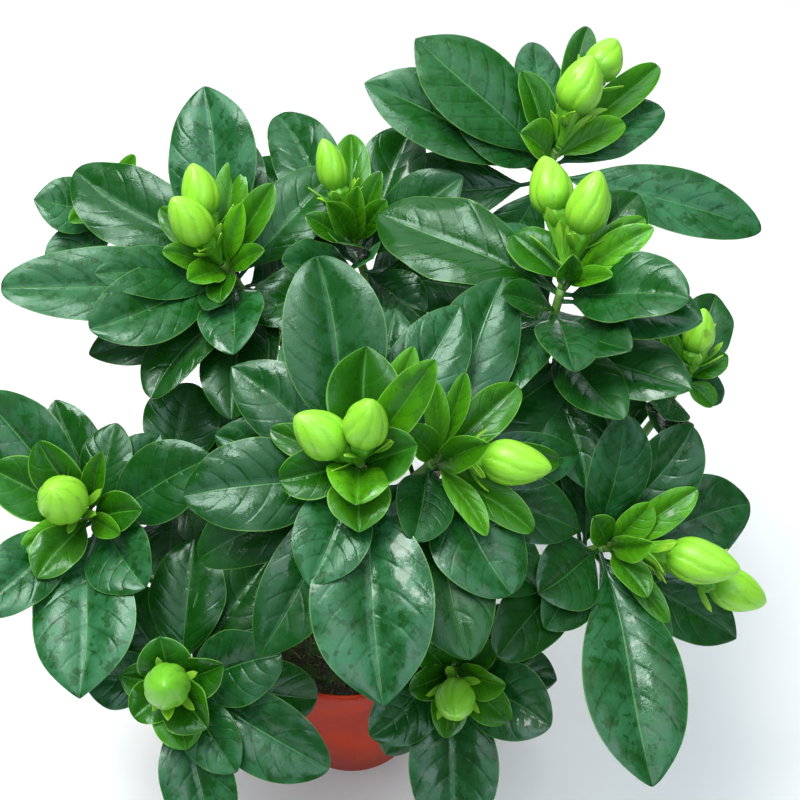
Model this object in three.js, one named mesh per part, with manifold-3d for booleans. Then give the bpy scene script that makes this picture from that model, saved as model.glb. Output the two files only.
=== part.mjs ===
// A young gardenia bush in a round plastic pot.
// Millimetres, Z up. The origin is the middle of the pot's flat base, and the front is -Y.
import * as THREE from "three";
import { mergeVertices } from "three/addons/utils/BufferGeometryUtils.js";
import Module from "manifold-3d";

const wasm = await Module();
wasm.setup();

// Pot
const potHeight = 140;
const rimRadius = 70;
const baseRadius = 48;
const potWall = 2.4;
const floorThickness = 3;
const rimBandHeight = 24;
const rimStep = 2.2;
const innerStep = 0.6;
const baseEdge = 1.5;
const potSides = 30;
const drainHoles = 5;
const drainRadius = 4.5;
const drainRing = 27;
const drainSides = 8;

// Soil
const soilGap = 0.3;
const soilBelowRim = 13;
const soilMound = 5;
const moundShoulder = { out: 0.6, up: 0.7 };
const plantHoleRadius = 7.2;
const plantHoleDepth = 31;
const plantHoleSides = 12;

// Shoots
const nodeGap = 0.3;
const youngCore = 9;
const shootLength = 62;
const coreRadius = 2.8;
const rootOffset = 1.6;
const faceToShoot = 0.5;
const faceToSky = 0.6;
const coreSides = 6;
const receptacle = { radii: [2.2, 2.8], height: 3 };

// Leaf blades
const petioleShare = 0.06;
const longLeaf = { petiole: [2.6, 2], thickness: 1.4, fold: 12, stations: [0.18, 0.45, 0.72, 0.92] };
const shortLeaf = { ...longLeaf, stations: [0.24, 0.6, 0.9] };
const shortBelow = 92;
const youngLeaf = { petiole: [2, 1.7], thickness: 1.4, fold: 20, stations: [0.38, 0.85] };
const sepalLeaf = { petiole: [3, 1.6], thickness: 1.3, fold: 0, stations: [] };
const widestPower = 1.22;
const outlinePower = 0.62;

// Buds
const budSides = 8;
const stalkSides = 5;
const stalkRadii = [2.4, 8];
const calyxReach = 4;
const budRings = [0, 0.14, 0.4, 0.66, 0.88];
const budTwist = 14;
const budBelly = { low: 0.85, full: 0.72 };
const sepalsPerBud = { alone: 5, paired: 3 };
const sepalLengths = [19, 26];
const sepalScatter = 0.5;
const sepalBelowBud = 7;
const sepalSpread = [45, 58];

// Clearing of crossed blades
const clearStep = 4;
const clearMost = 40;
const clearMargin = 0.35;
const sameNodeOverlap = 3;

// Lower leaves, in whorls
const fillFrom = 28;
const whorlCount = 3;
const whorlStep = 12;
const whorlTurn = 0.17;
const fillSpread = [68, 82];
const fillLength = [72, 98];
const fillWidth = 0.44;
const fillBend = 24;
const fillScatter = { below: 3, around: 0.6 };

// Leaf, bud and shoot directions are given as they look to an eye in front of the plant, 46 degrees up:
// the clock angle counts from the right, anticlockwise, and the lean comes out of that view.
const eyeHeight = THREE.MathUtils.degToRad(46);
const viewRight = new THREE.Vector3(1, 0, 0);
const viewUp = new THREE.Vector3(0, Math.sin(eyeHeight), Math.cos(eyeHeight));
const viewOut = new THREE.Vector3(0, -Math.cos(eyeHeight), Math.sin(eyeHeight));

function direction(clock, lean) {
  const c = THREE.MathUtils.degToRad(clock);
  const l = THREE.MathUtils.degToRad(lean);
  return new THREE.Vector3()
    .addScaledVector(viewRight, Math.cos(l) * Math.cos(c))
    .addScaledVector(viewUp, Math.cos(l) * Math.sin(c))
    .addScaledVector(viewOut, Math.sin(l));
}

// Each shoot: its tip, its axis (clock, lean), and rows for what grows on it.
// leaves and young: distance below the tip, clock, lean, length, width, bend.
// buds: clock, lean, stalk, length, width.
// size: how large the shoot's leaves and buds are against its rows.
// fill: how many lower leaves the whorl rule adds. fillFrom: how far below the tip they start.
const shoots = [
  {
    name: "01", tip: [-76, 121, 335], axis: [125, 55], size: 1.06, fill: 2,
    buds: [[124, 44, 14, 38, 23.5], [103, 24, 25, 34, 22]],
    young: [
      [5, 85, 5, 62, 22, 25], [6, 58, 15, 58, 20, 20], [5, 70, 48, 44, 15, 15], [7, 137, 20, 52, 19, 25],
      [6, 165, 45, 40, 16, 20], [7, 205, 58, 36, 19, 25], [7, 270, 72, 34, 18, 25], [7, 20, 45, 36, 15, 20],
    ],
    leaves: [
      [14, 146, -5, 116, 50, 25], [30, 181, 18, 139, 46, 20], [20, 202, 30, 94, 46, 20],
      [13, 98, 2, 112, 54, 20], [14, 88, -16, 92, 40, 20], [20, 48, 2, 92, 44, 25],
      [18, 180, 30, 84, 32, 20], [16, 244, 62, 44, 19, 15], [24, 275, 50, 68, 40, 35],
      [44, 199, 10, 102, 38, 20], [40, 276, 32, 70, 42, 40], [36, 208, 8, 66, 30, 20],
      [30, 352, -14, 58, 44, 20], [36, 268, 16, 88, 42, 25], [30, 28, -48, 60, 38, 20],
      [34, 160, -46, 56, 36, 20],
    ],
  },
  {
    name: "02", tip: [4, 141, 342], axis: [110, 35], size: 1.06, fill: 1,
    buds: [[106, 20, 22, 34, 18]],
    young: [
      [5, 92, 18, 67, 24, 20], [6, 68, 25, 46, 16, 20], [7, 85, 45, 44, 14, 15], [7, 50, 45, 38, 15, 15],
      [6, 125, 35, 42, 16, 20], [7, 150, 40, 34, 15, 20],
    ],
    leaves: [
      [16, 119, -16, 114, 42, 20], [26, 136, 0, 104, 38, 20], [16, 68, 10, 86, 42, 25],
      [18, 158, 57, 50, 26, 20], [22, 350, 80, 44, 26, 20], [34, 175, 56, 80, 36, 20],
      [32, 200, 24, 80, 38, 20], [20, 38, 10, 80, 38, 25], [30, 350, 10, 76, 44, 20],
      [28, 318, 15, 50, 34, 20], [30, 15, -50, 56, 34, 20], [28, 100, -58, 52, 34, 20],
    ],
  },
  {
    name: "03", tip: [132, 166, 388], axis: [62, 40], size: 1.09, fill: 2,
    buds: [[72, 28, 17, 36, 25], [62, -14, 46, 31, 22]],
    young: [
      [6, 153, 41, 29, 25, 25], [6, 28, 10, 46, 19, 20], [6, 43, -22, 99, 21, 20], [6, 73, -24, 106, 20, 20],
      [5, 112, 12, 50, 20, 20],
    ],
    leaves: [
      [13, 138, 10, 103, 54, 20], [20, 154, 7, 114, 46, 20], [17, 149, 26, 62, 34, 20],
      [15, 92, -20, 91, 32, 20], [14, 30, -14, 86, 34, 20], [18, 345, 2, 127, 39, 20],
      [26, 186, -6, 96, 46, 20], [24, 243, -22, 60, 36, 20],
    ],
  },
  {
    name: "04", tip: [129, 62, 376], axis: [78, 38], size: 1, fill: 2,
    buds: [[101, -5, 29, 38, 25], [75, 26, 19, 40, 23]],
    young: [
      [5, 32, 25, 58, 19, 20], [6, 47, 28, 46, 14, 15], [7, 40, 8, 58, 18, 20], [5, 64, 3, 58, 15, 15],
      [6, 5, 55, 38, 14, 20], [6, 134, 10, 40, 29, 25], [7, 85, 65, 34, 15, 15],
    ],
    leaves: [
      [14, 154, 4, 120, 56, 22], [14, 126, 2, 72, 26, 20], [13, 353, 41, 80, 46, 20],
      [18, 349, 30, 84, 42, 20], [13, 52, -2, 74, 42, 20], [24, 170, 43, 46, 22, 20],
      [40, 339, 58, 78, 34, 20], [52, 341, 40, 98, 44, 20], [50, 309, 30, 84, 36, 20],
      [54, 284, 22, 88, 38, 20], [52, 181, -30, 74, 38, 20], [34, 165, -30, 60, 34, 20],
      [28, 274, 46, 72, 36, 20],
    ],
  },
  {
    name: "05", tip: [212, 62, 298], axis: [62, 40], size: 1, fill: 1,
    buds: [[84, 22, 8, 31, 19]],
    young: [
      [5, 30, 12, 28, 17, 20], [6, 118, 20, 36, 15, 20], [6, 150, 40, 30, 18, 20], [7, 318, 10, 22, 16, 20],
    ],
    leaves: [
      [13, 66, 2, 64, 36, 25], [14, 0, -20, 32, 24, 20], [20, 228, 60, 36, 28, 20],
      [30, 246, 60, 42, 32, 20], [16, 115, -5, 56, 30, 20], [30, 190, 10, 70, 36, 20],
    ],
  },
  {
    name: "06", tip: [14, -51, 344], axis: [100, 72], size: 0.96, fill: 2,
    buds: [[143, 30, 10, 37, 26], [78, 50, 15, 36, 24]],
    young: [
      [5, 87, 8, 64, 40, 20], [6, 66, 15, 70, 20, 15], [6, 55, 5, 78, 24, 25], [7, 158, 25, 52, 19, 20],
      [5, 190, 35, 44, 28, 25], [6, 265, 60, 36, 35, 40], [7, 270, 40, 42, 34, 20], [6, 22, 45, 42, 31, 25],
    ],
    leaves: [
      [13, 102, -4, 120, 58, 15], [15, 142, 8, 92, 42, 20], [20, 187, 10, 98, 52, 20],
      [16, 276, 22, 128, 66, 20], [14, 246, 24, 72, 42, 20], [26, 240, 10, 114, 42, 20],
      [24, 60, -8, 110, 44, 20], [34, 80, -14, 102, 42, 20], [30, 164, 4, 86, 40, 20],
      [34, 206, 0, 104, 42, 25],
    ],
  },
  {
    name: "07", tip: [58, -36, 332], axis: [40, 48], size: 0.96, fill: 3,
    buds: [[353, 18, 17, 43, 25]],
    young: [
      [5, 92, 20, 46, 14, 30], [6, 72, 30, 52, 14, 20], [6, 42, 17, 62, 25, 20], [7, 26, 42, 56, 19, 20],
      [5, 359, -12, 72, 21, 15], [6, 304, 32, 54, 15, 20], [7, 325, 25, 66, 21, 20],
      [6, 130, 45, 34, 19, 20],
    ],
    leaves: [
      [13, 68, 15, 120, 49, 15], [20, 60, -8, 80, 28, 20], [14, 256, 48, 56, 34, 20],
      [16, 304, 34, 86, 54, 25], [26, 286, 30, 110, 52, 20], [20, 5, 0, 92, 34, 20],
      [24, 340, 4, 100, 40, 20], [30, 318, 12, 98, 42, 20], [26, 34, 8, 114, 44, 20],
      [30, 232, -34, 62, 38, 20],
    ],
  },
  {
    name: "08", tip: [-154, -12, 252], axis: [145, 65], size: 1.02, fill: 2,
    buds: [[105, 68, 12, 36, 28]],
    young: [
      [5, 117, 25, 54, 28, 20], [6, 151, 20, 62, 35, 20], [6, 70, 35, 50, 14, 20], [7, 10, 40, 48, 25, 25],
      [5, 345, 50, 40, 14, 20], [6, 235, 38, 48, 28, 25], [7, 205, 40, 42, 18, 20],
    ],
    leaves: [
      [13, 131, 8, 98, 50, 20], [14, 219, 32, 90, 40, 20], [16, 273, 34, 110, 60, 15],
      [14, 317, 34, 64, 44, 20], [16, 28, 14, 82, 46, 20], [14, 80, -5, 57, 32, 25],
      [20, 56, -10, 60, 34, 20],
    ],
  },
  {
    name: "09", tip: [-97, -97, 202], axis: [150, 84], size: 1.02, fill: 1,
    buds: [[60, 76, 12, 34, 25]],
    young: [
      [5, 98, 35, 36, 31, 40], [6, 218, 38, 30, 26, 40], [7, 288, 35, 40, 29, 35], [5, 320, 40, 38, 30, 35],
      [6, 25, 30, 38, 25, 30], [7, 165, 30, 32, 22, 35],
    ],
    leaves: [
      [13, 17, 16, 66, 44, 20], [18, 332, 10, 100, 46, 20], [14, 308, 20, 62, 32, 20],
      [16, 285, 40, 96, 42, 20], [14, 174, 8, 52, 34, 20], [20, 86, -12, 80, 46, 20],
      [26, 54, -4, 84, 44, 20], [24, 132, -10, 66, 42, 20], [24, 345, -22, 84, 44, 20],
    ],
  },
  {
    name: "10", tip: [66, -88, 197], axis: [270, 66], size: 1, fill: 2,
    buds: [[270, 79, 12, 35, 22.5]],
    young: [
      [5, 195, 42, 34, 21, 25], [6, 352, 42, 38, 21, 25], [6, 322, 38, 46, 24, 20],
      [7, 262, 48, 42, 22, 25], [5, 135, 40, 34, 20, 30], [7, 40, 35, 36, 20, 30],
    ],
    leaves: [
      [13, 218, 26, 66, 38, 20], [14, 270, 34, 100, 52, 20], [14, 331, 33, 70, 46, 20],
      [15, 36, 30, 70, 40, 20], [20, 345, -8, 66, 34, 20], [16, 105, 5, 46, 26, 30],
    ],
  },
  {
    name: "11", tip: [159, -44, 264], axis: [20, 50], size: 1.02, fill: 2,
    buds: [[350, 24, 22, 44, 25], [338, -6, 53, 38, 24]],
    young: [
      [5, 50, 32, 34, 19, 30], [6, 35, 20, 58, 20, 20], [6, 305, 42, 38, 18, 20], [7, 308, 20, 52, 14, 30],
      [5, 20, 48, 38, 16, 20], [7, 120, 45, 30, 18, 20],
    ],
    leaves: [
      [13, 83, 18, 80, 36, 15], [14, 54, 12, 86, 42, 20], [14, 208, 38, 54, 42, 20],
      [14, 279, 26, 131, 58, 15], [20, 302, 30, 72, 36, 20], [16, 15, -6, 96, 51, 20],
      [20, 26, 6, 66, 28, 20], [22, 329, 4, 100, 38, 20], [24, 232, 42, 62, 34, 20],
      [26, 90, -10, 74, 34, 20], [30, 62, -25, 74, 38, 20],
    ],
  },
  {
    name: "12", tip: [-160, 195, 325], axis: [128, 50], size: 1.05, fill: 0,
    buds: [],
    young: [[5, 128, 50, 36, 18, 20], [6, 62, 30, 40, 15, 20], [6, 205, 45, 34, 16, 20]],
    leaves: [[13, 171, 26, 54, 38, 20], [15, 222, 20, 60, 32, 20], [18, 15, 0, 56, 30, 20]],
  },
  {
    name: "13", tip: [-114, 35, 236], axis: [95, 52], size: 1, fill: 0,
    buds: [],
    young: [[5, 120, 45, 38, 18, 20], [6, 55, 40, 36, 16, 20], [6, 180, 50, 34, 15, 20]],
    leaves: [
      [14, 78, -6, 66, 50, 20], [16, 45, -8, 68, 34, 20], [28, 338, 44, 92, 40, 20],
      [30, 281, 50, 82, 44, 25],
    ],
  },
  {
    name: "14", tip: [-40, 150, 262], axis: [100, 5], size: 1, fill: 5, fillFrom: 14,
    buds: [],
    young: [],
    leaves: [],
  },
  {
    name: "15", tip: [86, 150, 262], axis: [80, 5], size: 1, fill: 5, fillFrom: 14,
    buds: [],
    young: [],
    leaves: [],
  },
];

// Bare branches: the shoot that each ends at, and the points that it passes on the way up from the trunk.
const trunk = [[4, 8, 104], [3, 7, 146], [6, 9, 172]];
const forks = {
  left: [-36, 20, 170],
  back: [-6, 46, 198],
  right: [46, 24, 202],
  front: [10, 0, 208],
};
const branches = [
  { to: "13", from: "left", via: [[-72, 30, 158]] },
  { to: "08", from: "left", via: [[-80, 16, 176]] },
  { to: "01", from: "back", via: [[-28, 92, 240]] },
  { to: "12", from: "back", via: [[-64, 118, 222]] },
  { to: "14", from: "back", via: [[-16, 76, 198]] },
  { to: "02", from: "back", via: [[8, 92, 240]] },
  { to: "03", from: "right", via: [[78, 96, 258]] },
  { to: "15", from: "right", via: [[60, 64, 202]] },
  { to: "04", from: "right", via: [[88, 38, 252]] },
  { to: "05", from: "right", via: [[112, 36, 210]] },
  { to: "11", from: "right", via: [[82, 4, 204]] },
  { to: "06", from: "front", via: [[14, -8, 244]] },
  { to: "07", from: "front", via: [[17, -8, 240]] },
  { to: "09", from: "trunk", via: [[-44, -20, 148]] },
  { to: "10", from: "trunk", via: [[36, -10, 160]] },
];
const trunkRadii = [6, 5.1, 4];
const forkRadii = [4.6, 3.2];
const branchRadii = [3, 2.6];
const forkArch = 4;
// The last straight run under a shoot is short where the shoot's foot lies low over the rim
const footRun = 28;
const lowFoot = 160;
const lowFootRun = 12;
const trunkSides = 6;
const trunkSteps = 3;
const branchSides = 5;
const branchSteps = 3;

// Seeded random numbers between 0 and 1
function randomFrom(seed) {
  let state = seed;
  return () => {
    state = (state * 1664525 + 1013904223) % 4294967296;
    return state / 4294967296;
  };
}

function vec(p) {
  return new THREE.Vector3(p[0], p[1], p[2]);
}

// Points and triangles of a closed surface as a solid
function solidFrom(points, faces) {
  const vertProperties = new Float32Array(points.length * 3);
  points.forEach((p, i) => vertProperties.set([p.x, p.y, p.z], i * 3));
  const triVerts = new Uint32Array(faces.flat());
  return new wasm.Manifold(new wasm.Mesh({ numProp: 3, vertProperties, triVerts }));
}

// A closed geometry as a solid
function solidOf(geometry) {
  const plain = geometry.clone();
  plain.deleteAttribute("normal");
  plain.deleteAttribute("uv");
  const merged = mergeVertices(plain, 1e-4);
  return new wasm.Manifold(
    new wasm.Mesh({
      numProp: 3,
      vertProperties: new Float32Array(merged.attributes.position.array),
      triVerts: new Uint32Array(merged.index.array),
    }),
  );
}

function union(solids) {
  return solids.reduce((all, s) => all.add(s));
}

// A tapered tube with flat ends through points, along a smooth curve
function tube(points, radii, steps, sides) {
  const curve = new THREE.CatmullRomCurve3(points, false, "centripetal");
  const frames = curve.computeFrenetFrames(steps, false);
  const rings = [];
  for (let i = 0; i <= steps; i++) {
    const share = i / steps;
    const place = share * (radii.length - 1);
    const k = Math.min(Math.floor(place), radii.length - 2);
    const radius = THREE.MathUtils.lerp(radii[k], radii[k + 1], place - k);
    const centre = curve.getPointAt(share);
    for (let j = 0; j < sides; j++) {
      const a = (2 * Math.PI * j) / sides;
      rings.push(
        centre
          .clone()
          .addScaledVector(frames.normals[i], radius * Math.cos(a))
          .addScaledVector(frames.binormals[i], radius * Math.sin(a)),
      );
    }
  }
  const faces = [];
  for (let i = 0; i < steps; i++) {
    for (let j = 0; j < sides; j++) {
      const a = i * sides + j;
      const b = i * sides + ((j + 1) % sides);
      faces.push([a, b, b + sides], [a, b + sides, a + sides]);
    }
  }
  const last = steps * sides;
  for (let j = 1; j < sides - 1; j++) {
    faces.push([0, j + 1, j], [last, last + j, last + j + 1]);
  }
  return solidFrom(rings, faces);
}

// Half the width of a blade, as a share of its widest, at a share of the blade's length
function outline(share) {
  return Math.pow(Math.sin(Math.PI * Math.pow(share, widestPower)), outlinePower);
}

// One blade: a petiole and a folded, bent, lens-thick blade that ends in a point
function blade(leaf, margin = 0) {
  const { root, along, face, length, width, kind } = leaf;
  const bend = THREE.MathUtils.degToRad(leaf.bend);
  const fold = THREE.MathUtils.degToRad(kind.fold);
  const side = new THREE.Vector3().crossVectors(along, face);
  const points = [];
  const middle = (s) => {
    const turn = bend / 2 - bend * s;
    const forward = bend ? (Math.sin(bend / 2) - Math.sin(turn)) / bend : s;
    const rise = bend ? (Math.cos(turn) - Math.cos(bend / 2)) / bend : 0;
    const at = root
      .clone()
      .addScaledVector(along, length * forward)
      .addScaledVector(face, length * rise);
    const up = face
      .clone()
      .multiplyScalar(Math.cos(turn))
      .addScaledVector(along, -Math.sin(turn));
    return { at, up };
  };
  const section = (s, half, lift, thick) => {
    const { at, up } = middle(s);
    points.push(at.clone().addScaledVector(side, -half).addScaledVector(up, lift));
    points.push(at.clone().addScaledVector(up, thick / 2));
    points.push(at.clone().addScaledVector(side, half).addScaledVector(up, lift));
    points.push(at.clone().addScaledVector(up, -thick / 2));
  };
  section(0, kind.petiole[0] / 2 + margin, 0, kind.petiole[1] + 2 * margin);
  for (const share of kind.stations) {
    const s = petioleShare + (1 - petioleShare) * share;
    const half = (width / 2) * outline(share);
    section(s, half + margin, half * Math.tan(fold), kind.thickness + 2 * margin);
  }
  const tip = points.length;
  points.push(middle(1).at.addScaledVector(along, margin));
  const faces = [[0, 1, 2], [0, 2, 3]];
  for (let a = 0; a + 4 < tip; a += 4) {
    const b = a + 4;
    faces.push([a, b, b + 1], [a, b + 1, a + 1]);
    faces.push([a + 1, b + 1, a + 2], [b + 1, b + 2, a + 2]);
    faces.push([a + 2, b + 2, a + 3], [b + 2, b + 3, a + 3]);
    faces.push([a + 3, b + 3, b], [a + 3, b, a]);
  }
  const end = tip - 4;
  faces.push([end, tip, end + 1], [end + 1, tip, end + 2], [end + 2, tip, end + 3], [end + 3, tip, end]);
  return solidFrom(points, faces.map(([a, b, c]) => [a, c, b]));
}

// Shorter leaves need fewer stations
function matureKind(length) {
  return length < shortBelow ? shortLeaf : longLeaf;
}

// The leaf that a row describes, leaning by one more turn
function leafAt(shoot, row, kind, turn) {
  const [below, clock, lean, length, width, bend] = row;
  const facing = viewOut.clone().addScaledVector(shoot.up, faceToShoot);
  const along = direction(clock, lean + turn);
  return placedLeaf(shoot, below, along, facing, length * shoot.size, width * shoot.size, bend, kind);
}

// A leaf with its root in the shoot's core, pointing along and facing as near to a direction as it can
function placedLeaf(shoot, below, along, facing, length, width, bend, kind) {
  const outward = along.clone().addScaledVector(shoot.up, -along.dot(shoot.up)).normalize();
  const root = shoot.at.clone().addScaledVector(shoot.up, -below).addScaledVector(outward, rootOffset);
  const face = facing.clone().addScaledVector(along, -facing.dot(along)).normalize();
  return { root, along, face, length, width, bend, kind };
}

// Whether the boxes of two solids meet, to skip pairs that are far apart
function boxesMeet(a, b) {
  return [0, 1, 2].every((i) => a.min[i] <= b.max[i] && b.min[i] <= a.max[i]);
}

// Solids made so far, with the node that each belongs to
const placed = [];

function place(node, solid, isCore = false) {
  placed.push({ node, solid, isCore, box: solid.boundingBox() });
}

function crosses(node, solid) {
  const box = solid.boundingBox();
  return placed.some((other) => {
    const sameNode = other.node === node;
    if ((sameNode && other.isCore) || !boxesMeet(box, other.box)) return false;
    return solid.intersect(other.solid).volume() > (sameNode ? sameNodeOverlap : 0);
  });
}

// Turns a blade a little, to one side and the other, until it crosses nothing; drops it if nothing helps
function placeClear(node, makeLeaf) {
  for (let turn = 0; turn <= clearMost; turn += clearStep) {
    for (const sign of turn ? [1, -1] : [1]) {
      const leaf = makeLeaf(sign * turn);
      if (crosses(node, blade(leaf, clearMargin))) continue;
      place(node, blade(leaf));
      return;
    }
  }
}

// A solid turned from a profile of radius and height
function turned(profile) {
  const body = new THREE.LatheGeometry(profile.map(([r, z]) => new THREE.Vector2(r, z)), potSides);
  body.rotateX(Math.PI / 2);
  return solidOf(body);
}

// An upright cylinder for cutting a hole
function cutter(radius, height, sides, x, y, z) {
  const hole = new THREE.CylinderGeometry(radius, radius, height, sides);
  hole.rotateX(Math.PI / 2);
  hole.translate(x, y, z);
  return solidOf(hole);
}

// Radii of the pot: its outer wall below the rim band, and the inside of the band
const bandFoot = potHeight - rimBandHeight;

function wallAt(z) {
  return baseRadius + ((rimRadius - rimStep - baseRadius) * z) / potHeight;
}

function bandInnerAt(z) {
  const low = wallAt(bandFoot) + rimStep - potWall - innerStep;
  const share = (z - bandFoot - 1) / (rimBandHeight - 1);
  return THREE.MathUtils.lerp(low, rimRadius - potWall, share);
}

// Pot: a tapered wall with a wider rim band, cut by drain holes off its middle
function makePot() {
  let pot = turned([
    [0, 0],
    [baseRadius - baseEdge, 0],
    [baseRadius, baseEdge],
    [wallAt(bandFoot), bandFoot],
    [wallAt(bandFoot) + rimStep, bandFoot + 1],
    [rimRadius, potHeight],
    [rimRadius - potWall, potHeight],
    [bandInnerAt(bandFoot + 1), bandFoot + 1],
    [wallAt(bandFoot) - potWall, bandFoot - floorThickness],
    [baseRadius - potWall, floorThickness],
    [0, floorThickness],
  ]);
  for (let i = 0; i < drainHoles; i++) {
    const a = (2 * Math.PI * i) / drainHoles;
    const [x, y] = [drainRing * Math.cos(a), drainRing * Math.sin(a)];
    pot = pot.subtract(cutter(drainRadius, 4 * floorThickness, drainSides, x, y, 0));
  }
  return pot;
}

// Soil: fills the pot to below its rim, with a plain hole that the trunk stands in
function makeSoil() {
  const top = potHeight - soilBelowRim;
  const inset = 2 * soilGap;
  const topRadius = bandInnerAt(top) - inset;
  const body = turned([
    [0, floorThickness + soilGap],
    [baseRadius - potWall - inset, floorThickness + soilGap],
    [wallAt(bandFoot) - potWall - inset, bandFoot - floorThickness],
    [topRadius, top],
    [topRadius * moundShoulder.out, top + soilMound * moundShoulder.up],
    [0, top + soilMound],
  ]);
  const [x, y] = trunk[0];
  return body.subtract(cutter(plantHoleRadius, 2 * plantHoleDepth, plantHoleSides, x, y, top + soilMound));
}

// Stems: the trunk, its forks and a branch to the foot of each shoot
function makeStems() {
  const root = vec(trunk[1]);
  const parts = [tube(trunk.map(vec), trunkRadii, trunkSteps, trunkSides)];
  for (const point of Object.values(forks)) {
    const middle = root.clone().lerp(vec(point), 0.5);
    middle.z += forkArch;
    parts.push(tube([root, middle, vec(point)], forkRadii, trunkSteps, trunkSides));
  }
  for (const { to, from, via } of branches) {
    const shoot = shoots.find((s) => s.name === to);
    const start = from === "trunk" ? root : vec(forks[from]);
    const foot = shoot.at.clone().addScaledVector(shoot.up, -(shootLength + nodeGap));
    const run = foot.z < lowFoot ? lowFootRun : footRun;
    const before = foot.clone().addScaledVector(shoot.up, -run);
    parts.push(tube([start, ...via.map(vec), before, foot], branchRadii, branchSteps, branchSides));
  }
  return union(parts);
}

// Core of a shoot between two distances below its tip
function core(shoot, from, to) {
  const a = shoot.at.clone().addScaledVector(shoot.up, -to);
  const b = shoot.at.clone().addScaledVector(shoot.up, -from);
  return tube([a, b], [coreRadius, coreRadius], 1, coreSides);
}

// Bud: a stalk that swells to a calyx, and a twisted spindle that ends in a point
function makeBud(shoot, row) {
  const [clock, lean] = row;
  const [stalk, length, width] = row.slice(2).map((v) => v * shoot.size);
  const along = direction(clock, lean);
  const root = shoot.at.clone().addScaledVector(shoot.up, receptacle.height);
  const neck = root.clone().addScaledVector(along, stalk + calyxReach);
  const parts = [tube([root, neck], stalkRadii, 1, stalkSides)];
  const start = root.clone().addScaledVector(along, stalk);
  const side = new THREE.Vector3().crossVectors(along, viewOut).normalize();
  const other = new THREE.Vector3().crossVectors(along, side);
  const points = [start.clone()];
  budRings.slice(1).forEach((share, ring) => {
    const radius = (width / 2) * Math.pow(Math.sin(Math.PI * Math.pow(share, budBelly.low)), budBelly.full);
    for (let j = 0; j < budSides; j++) {
      const a = (2 * Math.PI * j) / budSides + THREE.MathUtils.degToRad(budTwist * ring);
      points.push(
        start
          .clone()
          .addScaledVector(along, length * share)
          .addScaledVector(side, radius * Math.cos(a))
          .addScaledVector(other, radius * Math.sin(a)),
      );
    }
  });
  const tip = points.length;
  points.push(start.clone().addScaledVector(along, length));
  const faces = [];
  for (let j = 0; j < budSides; j++) {
    const next = (j + 1) % budSides;
    faces.push([0, 1 + next, 1 + j]);
    for (let ring = 0; ring < budRings.length - 2; ring++) {
      const a = 1 + ring * budSides;
      const b = a + budSides;
      faces.push([a + j, a + next, b + j], [b + j, a + next, b + next]);
    }
    const last = tip - budSides;
    faces.push([tip, last + j, last + next]);
  }
  parts.push(solidFrom(points, faces));
  return { solid: union(parts), along, start };
}

// Bud node: a receptacle, the shoot's buds and the thin sepals round each
function makeBuds(shoot, random) {
  const a = shoot.at.clone();
  const b = shoot.at.clone().addScaledVector(shoot.up, receptacle.height);
  a.addScaledVector(shoot.up, nodeGap);
  const parts = [tube([a, b], receptacle.radii, 1, stalkSides)];
  for (const row of shoot.buds) {
    const bud = makeBud(shoot, row);
    parts.push(bud.solid);
    const side = new THREE.Vector3().crossVectors(bud.along, viewRight).normalize();
    const sepals = shoot.buds.length > 1 ? sepalsPerBud.paired : sepalsPerBud.alone;
    for (let i = 0; i < sepals; i++) {
      const turn = (2 * Math.PI * (i + sepalScatter * random())) / sepals;
      const spread = THREE.MathUtils.degToRad(THREE.MathUtils.lerp(...sepalSpread, random()));
      const out = side.clone().applyAxisAngle(bud.along, turn);
      const along = bud.along.clone().multiplyScalar(Math.cos(spread)).addScaledVector(out, Math.sin(spread));
      const face = bud.along.clone().addScaledVector(along, -bud.along.dot(along)).normalize();
      const root = bud.start.clone().addScaledVector(bud.along, -sepalBelowBud);
      const length = THREE.MathUtils.lerp(...sepalLengths, random());
      parts.push(blade({ root, along, face, length, width: 0, bend: 0, kind: sepalLeaf }));
    }
  }
  return union(parts);
}

// Lower leaves that the whorl rule adds, each whorl turned past the one above
function fillLeaves(shoot, random) {
  const side = new THREE.Vector3().crossVectors(shoot.up, viewRight).normalize();
  const leaves = [];
  for (let i = 0; i < shoot.fill; i++) {
    const whorl = Math.floor(i / whorlCount);
    const below = (shoot.fillFrom ?? fillFrom) + whorlStep * whorl + fillScatter.below * random();
    const around = 2 * Math.PI * (i / whorlCount + whorlTurn * whorl) + fillScatter.around * random();
    const spread = THREE.MathUtils.lerp(...fillSpread, random());
    const length = THREE.MathUtils.lerp(...fillLength, random());
    leaves.push({ below, around, spread, length, width: fillWidth * length, bend: fillBend, side });
  }
  return leaves;
}

function fillLeafAt(shoot, leaf, turn) {
  const spread = THREE.MathUtils.degToRad(leaf.spread + turn);
  const out = leaf.side.clone().applyAxisAngle(shoot.up, leaf.around);
  const along = shoot.up.clone().multiplyScalar(Math.cos(spread)).addScaledVector(out, Math.sin(spread));
  const facing = shoot.up.clone();
  facing.z += faceToSky;
  const { below, length, width, bend } = leaf;
  return placedLeaf(shoot, below, along, facing, length, width, bend, matureKind(length));
}

for (const shoot of shoots) {
  shoot.at = vec(shoot.tip);
  shoot.up = direction(...shoot.axis);
}

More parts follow.
